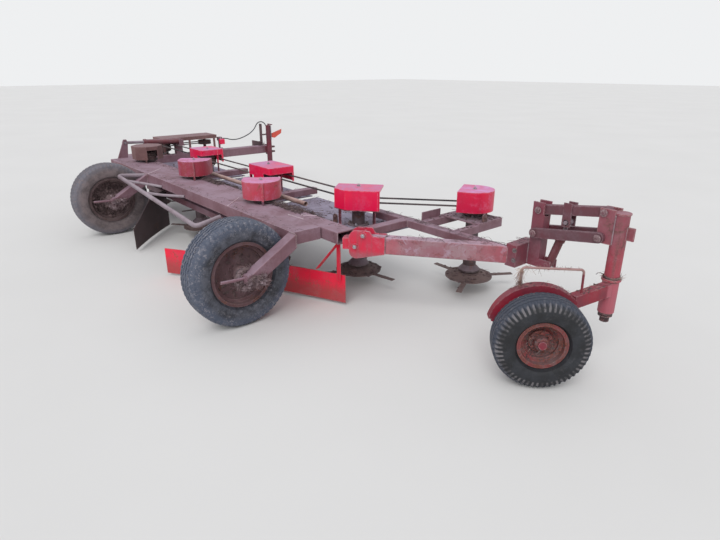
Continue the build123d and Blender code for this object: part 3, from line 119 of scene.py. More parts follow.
class Net:
    """Short calls for building a node tree."""

    def __init__(self, tree):
        self.tree = tree

    def add(self, kind, inputs=(), **props):
        """New node with its properties, and its inputs by number or name."""
        node = self.tree.nodes.new(kind)
        for key, value in props.items():
            setattr(node, key, value)
        for key, value in dict(inputs).items():
            self.put(value, node.inputs[key])
        return node

    def put(self, value, socket):
        """Links a socket, or sets a value or a colour as typed for tint()."""
        if isinstance(value, bpy.types.NodeSocket):
            self.tree.links.new(value, socket)
        else:
            socket.default_value = tint(value) if isinstance(value, str) else value

    def here(self):
        """The point in the piece's own space."""
        return self.add("ShaderNodeTexCoord").outputs["Object"]

    def math(self, operation, a, b=0.0, clamp=False):
        return self.add("ShaderNodeMath", {0: a, 1: b}, operation=operation,
                        use_clamp=clamp).outputs[0]

    def times(self, a, b, clamp=False):
        return self.math("MULTIPLY", a, b, clamp)

    def plus(self, a, b, clamp=False):
        return self.math("ADD", a, b, clamp)

    def dot(self, a, b):
        return self.add("ShaderNodeVectorMath", {0: a, 1: b},
                        operation="DOT_PRODUCT").outputs["Value"]

    def height(self, vector):
        return self.add("ShaderNodeSeparateXYZ", {0: vector}).outputs["Z"]

    def ramp(self, value, low, high, to_low=0.0, to_high=1.0):
        return self.add("ShaderNodeMapRange", enumerate((value, low, high, to_low, to_high)),
                        interpolation_type="SMOOTHSTEP").outputs[0]

    def noise(self, vector, scale, detail=4.0, rough=0.55, distortion=0.0):
        return self.add("ShaderNodeTexNoise", {
            "Vector": vector, "Scale": scale, "Detail": detail, "Roughness": rough,
            "Distortion": distortion}).outputs["Fac"]

    def mix(self, factor, a, b):
        return self.add("ShaderNodeMix", {0: factor, 6: a, 7: b}, data_type="RGBA").outputs[2]

    def stretch(self, vector, scale):
        return self.add("ShaderNodeMapping", {"Vector": vector, "Scale": scale}).outputs[0]

    def finish(self, shader, colour, rough, height=None, strength=0.0, distance=0.0):
        """Gives the shader its colour, its roughness and, if it has any, its relief."""
        self.put(colour, shader.inputs["Base Color"])
        self.put(rough, shader.inputs["Roughness"])
        if height is not None:
            relief = self.add("ShaderNodeBump", {"Strength": strength, "Distance": distance,
                                                 "Height": height})
            self.put(relief.outputs[0], shader.inputs["Normal"])


def weather_group():
    """Masks that every weathered surface shares: tone, rust, pale edges (chipped paint, and partly
    a painted highlight), dust, runs and relief.
    """
    labels = ("Tone", "Rust", "Edge", "Dust", "Runs", "Fine", "Height")
    tree, start, end = new_group(
        "weather", {"Rust": 0.3, "Dust": 0.4, "Wear_and_highlight": 0.5, "Scale": 1.0, "Sides": 0.35}, labels)
    net, given = Net(tree), start.outputs
    coords = net.add("ShaderNodeTexCoord")
    here = coords.outputs["Object"]

    def grain(scale, *shape):
        return net.noise(here, net.times(given["Scale"], scale), *shape)

    tone = net.ramp(grain(2.6, 5.0, 0.6), 0.32, 0.68)
    broad = grain(7.0, 7.0, 0.68, 0.4)
    fine = grain(70.0, 5.0, 0.6)
    grit = grain(260.0, 3.0, 0.6)
    level = net.math("SUBTRACT", 0.78, net.times(given["Rust"], 0.52))
    rust = net.ramp(net.plus(net.times(broad, 0.72), net.times(fine, 0.28)), level,
                    net.plus(level, 0.07))
    # Pale edges: chipped paint, and partly a painted highlight along every edge, made wider by the
    # bevel's radius
    bevel = net.add("ShaderNodeBevel", {"Radius": 0.011}, samples=4)
    facing = net.dot(bevel.outputs[0], net.add("ShaderNodeNewGeometry").outputs["Normal"])
    corner = net.ramp(net.math("SUBTRACT", 1.0, facing), 0.015, 0.16)
    edge_patches = net.ramp(grain(28.0, 5.0, 0.7), 0.40, 0.60)
    edge = net.times(net.times(corner, edge_patches), given["Wear_and_highlight"], True)
    upward = net.ramp(net.height(coords.outputs["Normal"]), 0.35, 0.95)
    drift = net.ramp(grain(5.0, 8.0, 0.7, 0.6), 0.30, 0.66)
    settled = net.times(upward, net.plus(net.times(drift, 0.75), 0.25))
    clinging = net.ramp(net.plus(net.times(fine, 0.5), net.times(drift, 0.5)), 0.55, 0.85)
    dust = net.math("MAXIMUM", net.times(settled, given["Dust"], True),
                    net.times(clinging, net.times(given["Dust"], given["Sides"])))
    runs = net.ramp(net.noise(net.stretch(here, (34.0, 34.0, 2.2)), 1.0, 4.0, 0.6), 0.46, 0.74)
    height = net.plus(net.plus(net.times(rust, 0.5), net.times(grit, 0.35)), net.times(fine, 0.4))
    for label, value in zip(labels, (tone, rust, edge, dust, runs, fine, height)):
        net.put(value, end.inputs[label])
    return tree


WEATHER = weather_group()
MATERIALS = {}


def blank(name):
    """New material under its name, with its net and its shader."""
    mat = MATERIALS[name] = bpy.data.materials.new(name)
    mat.use_nodes = True
    mat.node_tree.nodes.clear()
    net = Net(mat.node_tree)
    shader = net.add("ShaderNodeBsdfPrincipled")
    net.add("ShaderNodeOutputMaterial", {"Surface": shader.outputs[0]})
    return net, shader


def weathered(name, base, fade, rust_dark, rust_light, pale_edge, dust, rust, dusty, wear_and_highlight, gloss,
              metal=0.0, scale=1.0, relief=0.5, sides=0.35, runs=0.30, patches=()):
    """Old paint or steel: two tones, rust patches, pale edges (chipped paint, and partly a painted
    highlight), runs and settled dust.

    A patch is (direction, low, high, colour, share): the paint turns to colour along the direction.
    """
    net, shader = blank(name)
    masks = net.add("ShaderNodeGroup", {"Rust": rust, "Dust": dusty, "Wear_and_highlight": wear_and_highlight, "Scale": scale,
                                        "Sides": sides}, node_tree=WEATHER)
    m = masks.outputs
    colour = net.mix(m["Tone"], base, fade)
    for direction, low, high, patch, share in patches:
        width = high - low
        ragged = net.plus(net.dot(net.here(), direction), net.times(m["Fine"], width * 1.2))
        spread = net.times(net.ramp(ragged, low + width * 0.6, high + width * 0.6), share)
        colour = net.mix(spread, colour, patch)
    rust_colour = net.mix(net.ramp(m["Fine"], 0.35, 0.65), rust_dark, rust_light)
    colour = net.mix(net.times(m["Runs"], runs), colour, rust_colour)
    colour = net.mix(m["Rust"], colour, rust_colour)
    colour = net.mix(m["Dust"], net.mix(m["Edge"], colour, pale_edge), dust)
    rough = net.ramp(net.math("MAXIMUM", m["Rust"], m["Dust"]), 0.0, 1.0, gloss, 0.92)
    rough = net.plus(rough, net.times(m["Fine"], 0.08), True)
    net.finish(shader, colour, rough, m["Height"], relief, 0.0016)
    shader.inputs["Metallic"].default_value = metal


RUST_DARK, RUST_LIGHT, DUST = "4a3030", "805248", "96848e"
BELOW_HATS = ((0, 0, -1), -0.664, -0.658, "583e40", 0.95)

# Colours of the base, the faded base, dark and light rust, pale edges (chipped paint, partly a
# painted highlight) and dust; then how much (rust, dust, edge wear and highlight, gloss), and what
# differs from weathered()'s own values
PAINTS = {
    "faded_oxide": ("6a444c", "82626c", RUST_DARK, "704e4c", "a89094", "a08a98",
        (0.34, 0.75, 0.8, 0.6), {}),
    "faded_arm_pink": ("94626c", "9a7e84", "765256", "9c5c62", "cebcbe", "b49eae",
        (0.52, 0.9, 1.0, 0.55), dict(sides=0.8, scale=2.2, relief=1.0,
        patches=[(ARM_ALONG, ARM_START + 0.62, ARM_START + 1.05, "b43e4c", 0.55),
        (-ARM_ALONG, -ARM_START - 0.36, -ARM_START - 0.22, "ba3c4e", 0.5)])),
    "corner_red": ("803242", "744a54", RUST_DARK, RUST_LIGHT, "aa8c8e", "927882",
        (0.34, 0.6, 0.8, 0.52), {}),
    "castor_red": ("8e122a", "702232", "4a2c2e", "784844", "a47a7c", "846068",
        (0.36, 0.45, 1.0, 0.46), dict(scale=2.0, sides=0.3,
        patches=[((0, 1, 0), 0.160, 0.178, "b05c68", 0.85),
        ((0, 0, 1), 0.612, 0.620, "a68680", 0.9)])),
    "ram_red": ("702e36", "6a4448", RUST_DARK, "78524a", "967e80", DUST,
        (0.44, 0.6, 0.6, 0.55), {}),
    "link_red": ("68343e", "62424a", "422e32", "684848", "988086", "806670",
        (0.42, 0.55, 0.9, 0.55), dict(scale=1.8, sides=0.6)),
    "kingpin_red": ("8a424e", "925660", "543236", "865c58", "b89c98", "a4848e",
        (0.46, 0.6, 1.0, 0.46), dict(scale=2.4, relief=0.9, runs=0.7,
        patches=[((0, 0, -1), -0.82, -0.64, "ac3646", 0.7),
        ((0, 0, -1), -0.375, -0.355, "1e1a1e", 0.95)])),
    "hat_red": ("ec0242", "de084a", "8c182e", "a04048", "e292a0", "be8aae",
        (0.26, 1.0, 1.0, 0.30), dict(sides=0.16, runs=0.16, patches=[BELOW_HATS])),
    "crimson_hat": ("d4043c", "c20c40", "7e1a2c", "964246", "d08692", "ce9ac6",
        (0.26, 1.0, 1.0, 0.32), dict(sides=0.22, runs=0.22, patches=[BELOW_HATS])),
    "old_hat_red": ("c62c44", "b8485a", "763a3c", "a06054", "ba8e90", "d094bc",
        (0.38, 1.0, 1.0, 0.42), dict(sides=0.3, runs=0.4, scale=1.5, patches=[BELOW_HATS,
        ((-1, 0, 0), 0.0, 0.4, "862e3e", 0.7)])),
    "bracket_red": ("ce123a", "be304c", "703c42", "966062", "ba8c92", "b88496",
        (0.36, 0.6, 1.0, 0.40), dict(sides=0.4, scale=2.4, runs=0.5,
        patches=[((0, 0, -1), -0.535, -0.480, "94545c", 0.75)])),
    "board_red": ("f00a38", "de1e40", "703a38", "a45846", "92645e", "9c6c70",
        (0.42, 0.5, 1.0, 0.38), dict(sides=0.5, scale=1.6,
        patches=[((0, 0, -1), -0.20, -0.08, "8c4240", 0.7)])),
    "flag_red": ("d64634", "c45446", "783e34", "aa644c", "aa8278", "b08c84",
        (0.2, 0.4, 0.7, 0.5), {}),
    "brown_rust": ("543a3c", "6a5050", "3c2a2c", "7a544a", "886e6c", DUST,
        (0.46, 0.6, 0.4, 0.8), dict(relief=0.7)),
    "cover_brown": ("664646", "7a5a58", "422c2e", "805850", "967c7a", "8e767a",
        (0.42, 0.8, 0.7, 0.7), dict(scale=1.6)),
    "board_brown": ("36282a", "463638", "2c2222", "5c423a", "6e5c5c", "605254",
        (0.4, 0.4, 0.5, 0.75), dict(relief=0.7)),
    # The deck sheets' blue-grey faded tone and dust are partly a painted reflection of the sky.
    "deck_steel": ("6c606e", "928ca2", "463438", "644e50", "968890", "9c94a6",
        (0.46, 0.8, 0.3, 0.6), dict(scale=1.3)),
    "pipe_steel": ("7a6a72", "968a92", "543c3a", "806258", "aaa0a6", "a89aa2",
        (0.30, 0.7, 0.5, 0.5), dict(metal=0.15, scale=1.8)),
    "tan_pipe": ("886862", "ac928a", "5c3c36", "966852", "beaca4", "bea49e",
        (0.36, 0.8, 0.6, 0.5), dict(scale=2.4)),
    "jack_dark_red": ("701a2e", "5e2c38", "3c2a2e", "684844", "967a7c", "866870",
        (0.42, 0.5, 0.8, 0.5), dict(scale=2.0)),
    "post_brown": ("402c32", "583e42", "2e2226", "644642", "826a6a", "766266",
        (0.42, 0.5, 0.6, 0.6), dict(scale=2.0)),
    "worn_steel": ("504244", "685a5e", "3a2a2a", "6c4a40", "a09696", DUST,
        (0.46, 0.7, 0.8, 0.6), dict(metal=0.2, relief=0.8)),
    "rotor_steel": ("4e3c3c", "64504e", "382a2a", "74544a", "968884", "705e5a",
        (0.46, 0.9, 0.8, 0.7), dict(relief=0.9, scale=1.8, sides=0.5)),
    "land_rim": ("583a3e", "685054", "3e2a2a", "785046", "8c7474", "7a6464",
        (0.50, 0.6, 0.6, 0.75), dict(relief=0.8, scale=1.5, sides=0.7)),
    "left_rim_mud": ("524042", "685656", "3e2e2e", "624e48", "786462", "7a6a68",
        (0.5, 0.9, 0.3, 0.85), dict(relief=1.0, scale=1.8, sides=0.9)),
    "castor_rim_red": ("762a2e", "624240", "3e2826", "844c3e", "9e5850", "745e5e",
        (0.52, 0.9, 1.0, 0.62), dict(relief=0.9, scale=3.0, sides=0.8)),
    "black_steel": ("222226", "343236", "3c2c28", "60463c", "6e6462", "62565a",
        (0.2, 0.4, 0.5, 0.45), {}),
    "plated_bolt": ("b0aeb4", "969298", "60423a", "826050", "cccace", "a89ca0",
        (0.24, 0.3, 0.6, 0.28), dict(metal=0.85, scale=3.0)),
    "weld_bead": ("785c62", "927a80", RUST_DARK, RUST_LIGHT, "b0a0a4", DUST,
        (0.4, 0.5, 0.9, 0.5), dict(metal=0.1, scale=4.0)),
    "hose_rubber": ("1e1e24", "30303a", "2c2628", "463c3c", "5a565c", "605a62",
        (0.1, 0.6, 0.4, 0.45), dict(scale=2.0)),
    "link_nut_steel": ("70464e", "685054", "422e32", "78544e", "a48c8e", "887078",
        (0.4, 0.5, 1.0, 0.55), dict(scale=4.0)),
    "bright_weld": ("c4b0b8", "b098a2", RUST_DARK, "967478", "d6c8cc", "beaab2",
        (0.25, 0.4, 0.6, 0.5), dict(scale=5.0)),
}
for name, (*colours, amounts, others) in PAINTS.items():
    weathered(name, *colours, *amounts, **others)


def earth(name, dark, light, fleck, scale):
    """Dried mud: lumpy two-tone earth with pale chaff flecks."""
    net, shader = blank(name)
    here = net.here()
    tone = net.ramp(net.noise(here, scale, 6.0, 0.7, 0.5), 0.3, 0.7)
    grain = net.noise(here, scale * 9.0, 4.0, 0.7)
    chaff = net.ramp(net.noise(net.stretch(here, (1.0, 3.2, 2.0)), scale * 6.0, 3.0, 0.6),
                     0.62, 0.70)
    colour = net.mix(chaff, net.mix(tone, dark, light), fleck)
    net.finish(shader, colour, 0.95, net.plus(grain, tone), 0.8, 0.003)


earth("dried_mud", "463636", "746060", "96867e", 22.0)
earth("pale_mud", "7a666c", "9e8c90", "b2a49e", 26.0)

for name, *colours in (("dry_straw", "b69c8c", "948280", "705650"),
                       ("hub_straw", "9e8888", "806c70", "645054"),
                       ("old_straw", "806c6a", "64565c", "4c3c3e")):
    net, shader = blank(name)
    here = net.here()
    one = net.ramp(net.noise(here, 31.0, 2.0, 0.5), 0.38, 0.62)
    two = net.ramp(net.noise(here, 17.0, 2.0, 0.5), 0.45, 0.60)
    net.finish(shader, net.mix(two, net.mix(one, *colours[:2]), colours[2]), 0.8)


def rubber(name, dark, grey, tread, dust, dusty, ring, slots, spread, axle=(1.0, 0.0, 0.0)):
    """Tyre rubber in the wheel's own space: bleached walls, dried mud flecks, and a painted
    highlight on each lug of the shoulder with painted shade between the lugs.

    ring: radii between which the wall turns to tread. slots: count, inner and outer radius, and the
    share of the shoulder's painted highlight and painted shade.
    """
    net, shader = blank(name)
    here = net.here()
    aside = net.dot(here, axle)
    radius = net.math("SQRT", net.math("SUBTRACT", net.dot(here, here),
                                       net.math("POWER", aside, 2.0)))
    tone = net.ramp(net.noise(here, 9.0, 7.0, 0.72), 0.36, 0.64)
    flecks = net.times(net.ramp(net.noise(here, 42.0, 8.0, 0.8, 0.8), 0.50, 0.64),
                       net.ramp(net.noise(here, 6.0, 4.0, 0.6), 0.36, 0.62, 0.25, 1.0))
    fine = net.noise(here, 240.0, 4.0, 0.6)
    band = net.ramp(radius, *ring)
    colour = net.mix(net.times(band, 0.8), net.mix(tone, dark, grey), tread)
    mud = net.times(flecks, net.plus(net.times(band, dusty * 0.7), spread * dusty), True)
    colour = net.mix(mud, colour, dust)
    count, inner, outer, share = slots
    # Painted light round the shoulder: a painted highlight on each lug in the dust colour, and
    # painted shade in the dark colour in the gap between lugs
    turn = net.math("ARCTAN2", net.dot(here, (-axle[1], axle[0], 0.0)), net.height(here))
    comb = net.math("SINE", net.times(turn, float(count)))
    shoulder = net.times(net.ramp(radius, inner, inner + 0.010),
                         net.ramp(net.times(radius, -1.0), -outer, -outer + 0.008))
    lug_highlight = net.times(net.ramp(comb, 0.0, 0.5), net.ramp(tone, 0.1, 0.9, 0.15, 1.0))
    colour = net.mix(net.times(net.times(lug_highlight, shoulder), share), colour, dust)
    gap_shade = net.times(net.ramp(net.times(comb, -1.0), 0.2, 0.7), shoulder)
    colour = net.mix(net.times(gap_shade, share), colour, dark)
    net.finish(shader, colour, net.ramp(mud, 0.0, 1.0, 0.62, 0.95),
               net.plus(net.times(fine, 0.4), mud), 0.5, 0.0015)


rubber("land_tyre_rubber", "26272e", "50525c", "4a5264", "969298", 1.0,
       (0.285, 0.350), (60, 0.340, 0.374, 0.10), 0.42)
rubber("left_tyre_rubber", "584f50", "7c6f70", "60616c", "847472", 1.0,
       (0.30, 0.372), (60, 0.340, 0.374, 0.08), 0.8)
rubber("castor_tyre_rubber", "141519", "26282e", "3c4250", "928c8e", 0.55,
       (0.236, 0.262), (54, 0.214, 0.262, 0.52), 0.16, CASTOR_OUT)

net, shader = blank("belt_rubber")
here = net.here()
tone = net.ramp(net.noise(here, 3.5, 6.0, 0.7), 0.35, 0.65)
weave = net.noise(here, 420.0, 2.0, 0.5)
colour = net.mix(tone, "222026", "605454")
net.finish(shader, colour, 0.7, net.plus(weave, tone), 0.4, 0.0008)

# Which built nodes wear which paint; the rotors, which aren't listed, wear rotor_steel
WEARERS = {
    "faded_oxide": "axle_beam axle_hinge_lugs axle_hinge_pins cross_members drawbar front_rail "
                   "left_side_member lift_lever lower_rear_rail rear_rail rotor_outrigger "
                   "wheel_arms",
    "faded_arm_pink": "slanting_arm", "bracket_red": "arm_bracket", "corner_red": "castor_post",
    "castor_red": "castor_arm", "castor_rim_red": "castor_rim",
    "castor_tyre_rubber": "castor_tyre", "left_tyre_rubber": "left_tyre",
    "land_tyre_rubber": "right_tyre", "left_rim_mud": "left_rim", "land_rim": "right_rim",
    "cover_brown": "cover_a3 drive_cover", "brown_rust": "gearbox hitch_clevis",
    "board_brown": "left_windrow_board", "board_red": "right_windrow_board",
    "tan_pipe": "deck_pipe", "deck_steel": "deck_sheets", "worn_steel": "spindle_housings",
    "pipe_steel": "drive_shaft height_ram_rod jack_leg lift_ram_rod rear_guard",
    "ram_red": "height_ram_barrel lift_ram_barrel", "link_red": "lower_links upper_link",
    "kingpin_red": "kingpin_tube", "jack_dark_red": "jack_tube", "post_brown": "hose_post",
    "hat_red": "hat_b1 middle_hats", "crimson_hat": "hat_c1", "old_hat_red": "rear_hats",
    "belt_rubber": "drive_belts", "hose_rubber": "hitch_hose", "plated_bolt": "hose_coupler",
}
worn_by = {node: paint for paint, nodes in WEARERS.items() for node in nodes.split()}
for node_name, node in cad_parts.items():
    node.data.materials.clear()
    node.data.materials.append(MATERIALS[worn_by.get(node_name, "rotor_steel")])


# ---- mesh helpers

def new_piece(name, verts, faces, material, smooth=None, body=None):
    mesh = bpy.data.meshes.new(name)
    mesh.from_pydata([tuple(v) for v in verts], [], faces)
    mesh.validate()
    mesh.update()
    if smooth is not None:
        for poly in mesh.polygons:
            poly.use_smooth = True
        mesh.set_sharp_from_angle(angle=math.radians(smooth))
    obj = bpy.data.objects.new(name, mesh)
    bpy.context.scene.collection.objects.link(obj)
    mesh.materials.append(MATERIALS[material])
    if body:
        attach(obj, body)
    return obj


def tyre_columns(radius, width, seat, flange, rim_width):
    """Half profile of the tyre from its bead to the tread's edge: radius, offset, role."""
    bead = rim_width / 2 - 0.006
    half = width / 2
    foot, wall_low, wall_high = seat + 0.0006, flange + 0.006, radius - 0.030
    columns = [(foot, bead - 0.03, "bead"), (foot, bead - 0.004, "bead"),
               (seat + 0.010, bead, "bead"), (flange + 0.004, bead + 0.001, "bead"),
               (wall_low, bead + 0.006, "bead")]
    steps, ribs, rib_height = 12, (3, 9), 0.0008
    for i in range(1, steps + 1):
        t = i / steps
        bow = min(1.0, math.sin(math.pi * (0.16 + 0.62 * t)) ** 0.8)
        x = bead + 0.006 + (half - bead - 0.007) * bow
        if i in ribs:
            x += rib_height
        columns.append((wall_low + (wall_high - wall_low) * t, min(x, half - 0.001), "wall"))
    shoulder = ((0.024, 0.009), (0.017, 0.015), (0.010, 0.024), (0.005, 0.036))
    return columns + [(radius - drop, half - inset, "lug") for drop, inset in shoulder]


def tread_columns(radius, width, places):
    """Grooves across the tread: radius, offset, role."""
    groove = ((0.0055, 0.0), (0.0035, 0.0075), (-0.0035, 0.0075), (-0.0055, 0.0))
    return [(radius - 0.0015 * abs(place) * 8 - depth, place * width + shift, "zig")
            for place in places for shift, depth in groove]


def make_tyre(name, radius, width, seat, flange, rim_width, material, lugs, groove_places, notch,
              zigzag=0.005, cut_depth=0.0035, turn_z=0.0):
    """Tyre turned about its axle, with zigzag or straight grooves and worn shoulder slots."""
    half = tyre_columns(radius, width, seat, flange, rim_width)
    tread = tread_columns(radius, width, sorted(groove_places, reverse=True))
    profile = half + tread + [(r, -x, role) for r, x, role in reversed(half)]
    around = lugs * 4
    cos_z, sin_z = math.cos(math.radians(turn_z)), math.sin(math.radians(turn_z))
    verts = []
    for i in range(around):
        turn = 2 * math.pi * i / around
        zig = (1.0, 0.0, -1.0, 0.0)[i % 4] * zigzag
        for r, x, role in profile:
            if role == "zig":
                x += zig
            elif role == "lug" and i % 4 in notch:
                r -= cut_depth
                x -= math.copysign(cut_depth * 0.7, x)
            y = r * math.cos(turn)
            verts.append((x * cos_z - y * sin_z, x * sin_z + y * cos_z, r * math.sin(turn)))
    count = len(profile)
    faces = []
    for i in range(around):
        here, there = i * count, (i + 1) % around * count
        faces += [(here + k, here + k + 1, there + k + 1, there + k) for k in range(count - 1)]
        faces.append((here + count - 1, here, there, there + count - 1))
    return new_piece(name, verts, faces, material, smooth=32)


def place(obj, centre, body, node, slot_name):
    obj.location = centre
    bpy.context.view_layer.update()
    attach(obj, body)
    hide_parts(node)


LAND = dict(radius=0.380, width=0.222, seat=0.216, flange=0.232, rim_width=0.165, lugs=60,
            groove_places=(-0.21, -0.07, 0.07, 0.21), notch=(0,))
CASTOR = dict(radius=0.272, width=0.195, seat=0.126, flange=0.140, rim_width=0.140, lugs=54,
              groove_places=(-0.24, -0.08, 0.08, 0.24), notch=(0, 1), zigzag=0.0015,
              cut_depth=0.006, turn_z=-45)
for side, material, shape, centre in (("right", "land_tyre_rubber", LAND, RIGHT_WHEEL),
                                      ("left", "left_tyre_rubber", LAND, LEFT_WHEEL),
                                      ("castor", "castor_tyre_rubber", CASTOR, CASTOR_WHEEL)):
    place(make_tyre(side + "_tyre_tread", material=material, **shape), centre, side + "_wheel",
          side + "_tyre", "tyre_rubber")


# ---- hose: the route of the built tube, in millimetres

HOSE_ROUTE = [(-4440, 1265, 750), (-4440, 1320, 750), (-4437, 1385, 726), (-4433, 1455, 720),
              (-4431, 1530, 728), (-4432, 1605, 748), (-4434, 1675, 774), (-4437, 1735, 806),
              (-4439, 1782, 842), (-4440, 1812, 882), (-4440, 1836, 922), (-4440, 1878, 944),
              (-4440, 1925, 944), (-4440, 1966, 920), (-4440, 1990, 880), (-4440, 1997, 834),
              (-4440, 1997, 790)]
HOSE_POINTS = [at(*(value / 1000.0 for value in spot)) for spot in HOSE_ROUTE]
hose_curve = bpy.data.curves.new("hitch_hose_run", "CURVE")
hose_curve.dimensions = "3D"
hose_line = hose_curve.splines.new("NURBS")
hose_line.points.add(len(HOSE_POINTS) - 1)
for point, spot in zip(hose_line.points, HOSE_POINTS):
    point.co = (spot.x, spot.y, spot.z, 1.0)
hose_line.order_u = 3
hose_line.use_endpoint_u = True
hose_line.resolution_u = 8
hose_curve.bevel_depth = 0.007
hose_curve.bevel_resolution = 5
hose_curve.use_fill_caps = True
hose = bpy.data.objects.new("hitch_hose_run", hose_curve)
bpy.context.scene.collection.objects.link(hose)
hose_curve.materials.append(MATERIALS["hose_rubber"])
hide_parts("hitch_hose")
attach(hose, "frame")


# ---- small fixings and loose dirt

def ball(detail):
    shape = bmesh.new()
    bmesh.ops.create_icosphere(shape, subdivisions=detail, radius=1.0)
    shape.verts.ensure_lookup_table()
    verts = [v.co.copy() for v in shape.verts]
    faces = [tuple(v.index for v in f.verts) for f in shape.faces]
    shape.free()
    return verts, faces


BALLS = {1: ball(1), 2: ball(2)}


class Heap:
    """Small shapes gathered into one piece."""

    def __init__(self, seed):
        self.verts, self.faces = [], []
        self.rng = random.Random(seed)

    def take(self, verts, faces):
        start = len(self.verts)
        self.verts += verts
        self.faces += [tuple(start + i for i in face) for face in faces]

    def rings(self, rings):
        """Skin over rings of one count, with both ends closed."""
        n, last = len(rings[0]), len(rings) - 1
        faces = []
        for r in range(last):
            for k in range(n):
                m = (k + 1) % n
                faces.append((r * n + k, r * n + m, (r + 1) * n + m, (r + 1) * n + k))
        faces.append(tuple(reversed(range(n))))
        faces.append(tuple(last * n + k for k in range(n)))
        self.take([v for ring in rings for v in ring], faces)

    def turned(self, foot, axis, profile, sides=16, phase=0.0):
        """Turned or many-sided form: profile gives height along the axis and radius."""
        axis = Vector(axis).normalized()
        a = axis.orthogonal().normalized()
        ring = circle(a, axis.cross(a), sides, phase)
        self.rings([[foot + axis * h + out * r for out in ring] for h, r in profile])

    def tube(self, points, radii, sides=6):
        """Tube through points, with one radius or one a point."""
        points = [Vector(p) for p in points]
        if not hasattr(radii, "__len__"):
            radii = [radii] * len(points)
        rings, a = [], None
        for i, (p, r) in enumerate(zip(points, radii)):
            run = points[min(i + 1, len(points) - 1)] - points[max(i - 1, 0)]
            run = run.normalized()
            a = (run.orthogonal() if a is None else a - run * a.dot(run)).normalized()
            rings.append([p + out * r for out in circle(a, run.cross(a), sides)])
        self.rings(rings)

    def bolt(self, foot, axis, across, tall, thread=0.0, washer=True):
        """Hexagon head or nut on its washer, with the thread's end if it shows."""
        r, base = across / 1.732, 0.0
        if washer:
            base = 0.0022
            self.turned(foot, axis, [(0.0, across * 0.94), (0.0017, across * 0.96),
                                     (base, across * 0.92)], 20)
        top = base + tall
        self.turned(foot, axis, [(base - 0.0002, r * 0.96), (base + 0.001, r),
                                 (base + tall * 0.82, r), (top, r * 0.87)],
                    6, self.rng.uniform(0, 1))
        if thread:
            core = across * 0.31
            self.turned(foot, axis, [(top - 0.001, core), (top + thread * 0.8, core),
                                     (top + thread, across * 0.25)], 12)

    def bead(self, start, end, radius):
        """Weld bead: a low rippled run between two points."""
        draw = self.rng.uniform
        steps = max(4, int((end - start).length / (radius * 0.8)))
        points, radii = [], []
        for i in range(steps + 1):
            wander = Vector([draw(-1, 1) * radius * 0.14 for _ in range(3)])
            points.append(start.lerp(end, i / steps) + wander)
            radii.append(radius * (0.82 + 0.26 * (i % 2) + draw(-0.08, 0.08)))
        radii[0] = radii[-1] = radius * 0.5
        self.tube(points, radii, 7)

    def lump(self, centre, size, detail=2, rough=0.5):
        """Rough clod of three half widths."""
        verts, faces = BALLS[detail]
        draw = self.rng.uniform
        shift = Vector([draw(-40, 40) for _ in range(3)])
        turn = Euler((draw(-0.3, 0.3), draw(-0.3, 0.3), draw(0, 6.28))).to_matrix()
        size = Vector(size)
        out = []
        for v in verts:
            waves = noise.noise(v * 1.5 + shift), noise.noise(v * 3.9 + shift)
            k = 1.0 + rough * waves[0] + 0.6 * rough * waves[1]
            out.append(centre + turn @ (v * size) * k)
        self.take(out, faces)

    def straw(self, foot, heading, length, lift, radius):
        """Bent dry stalk that starts at foot and runs along heading."""
        heading = heading.normalized()
        side = heading.cross(UP)
        side = side.normalized() if side.length > 0.1 else Vector((1, 0, 0))
        bend, kink = self.rng.uniform(-0.22, 0.22), self.rng.uniform(0.3, 0.7)
        points = []
        for t in (0.0, kink * 0.6, kink, (1 + kink) / 2, 1.0):
            points.append(foot + heading * length * t + side * length * bend * t * t
                          + Vector((0, 0, lift * math.sin(math.pi * t))))
        self.tube(points, [radius, radius, radius * 0.9, radius * 0.8, radius * 0.4], 3)

    def piece(self, name, material, body, slot=None, smooth=40):
        new_piece(name, self.verts, self.faces, material, smooth=smooth, body=body)


def circle(a, b, sides, phase=0.0):
    """Unit steps round the plane of a and b."""
    turns = [phase + 2 * math.pi * k / sides for k in range(sides)]
    return [a * math.cos(t) + b * math.sin(t) for t in turns]


def surface(*names):
    """Tree of the named built meshes, for laying loose things on them."""
    verts, faces = [], []
    for name in names:
        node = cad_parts[name]
        start = len(verts)
        verts += [node.matrix_world @ v.co for v in node.data.vertices]
        faces += [tuple(start + i for i in p.vertices) for p in node.data.polygons]
    return BVHTree.FromPolygons(verts, faces)


def corners(node_name):
    return (Vector(corner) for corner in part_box(node_name))


def landings(tree, low, high, count, rng, slope=0.8):
    """Points on the tree's upward faces within a box, met from above."""
    found = []
    for _ in range(count * 6):
        x, y = rng.uniform(low.x, high.x), rng.uniform(low.y, high.y)
        spot, normal, _, _ = tree.ray_cast(Vector((x, y, high.z)), -UP)
        if spot is not None and spot.z >= low.z and normal.z >= slope:
            found.append(spot)
            if len(found) == count:
                break
    return found


def strew(stalks, clods, tree, low, high, straws, lumps, size=(0.003, 0.009), pile=0.0,
          long=(0.03, 0.10)):
    """Lays chopped straw and clods on what lies under a box, up to pile above it."""
    draw = stalks.rng.uniform
    for spot in landings(tree, low, high, straws, stalks.rng):
        turn = draw(0, 2 * math.pi)
        length = draw(*long)
        run = flat(turn, draw(-0.02, 0.12))
        foot = spot - flat(turn) * length * 0.5 + Vector((0, 0, 0.0016 + draw(0, pile)))
        stalks.straw(foot, run, length, draw(0.0, 0.010), draw(0.0007, 0.0014))
    for spot in landings(tree, low, high, lumps, stalks.rng):
        r = draw(*size)
        spot.z += draw(0, pile) * 0.6
        shape = (r * draw(0.8, 1.5), r * draw(0.8, 1.5), r * draw(0.35, 0.8))
        clods.lump(spot, shape, 1 if r < 0.006 else 2)


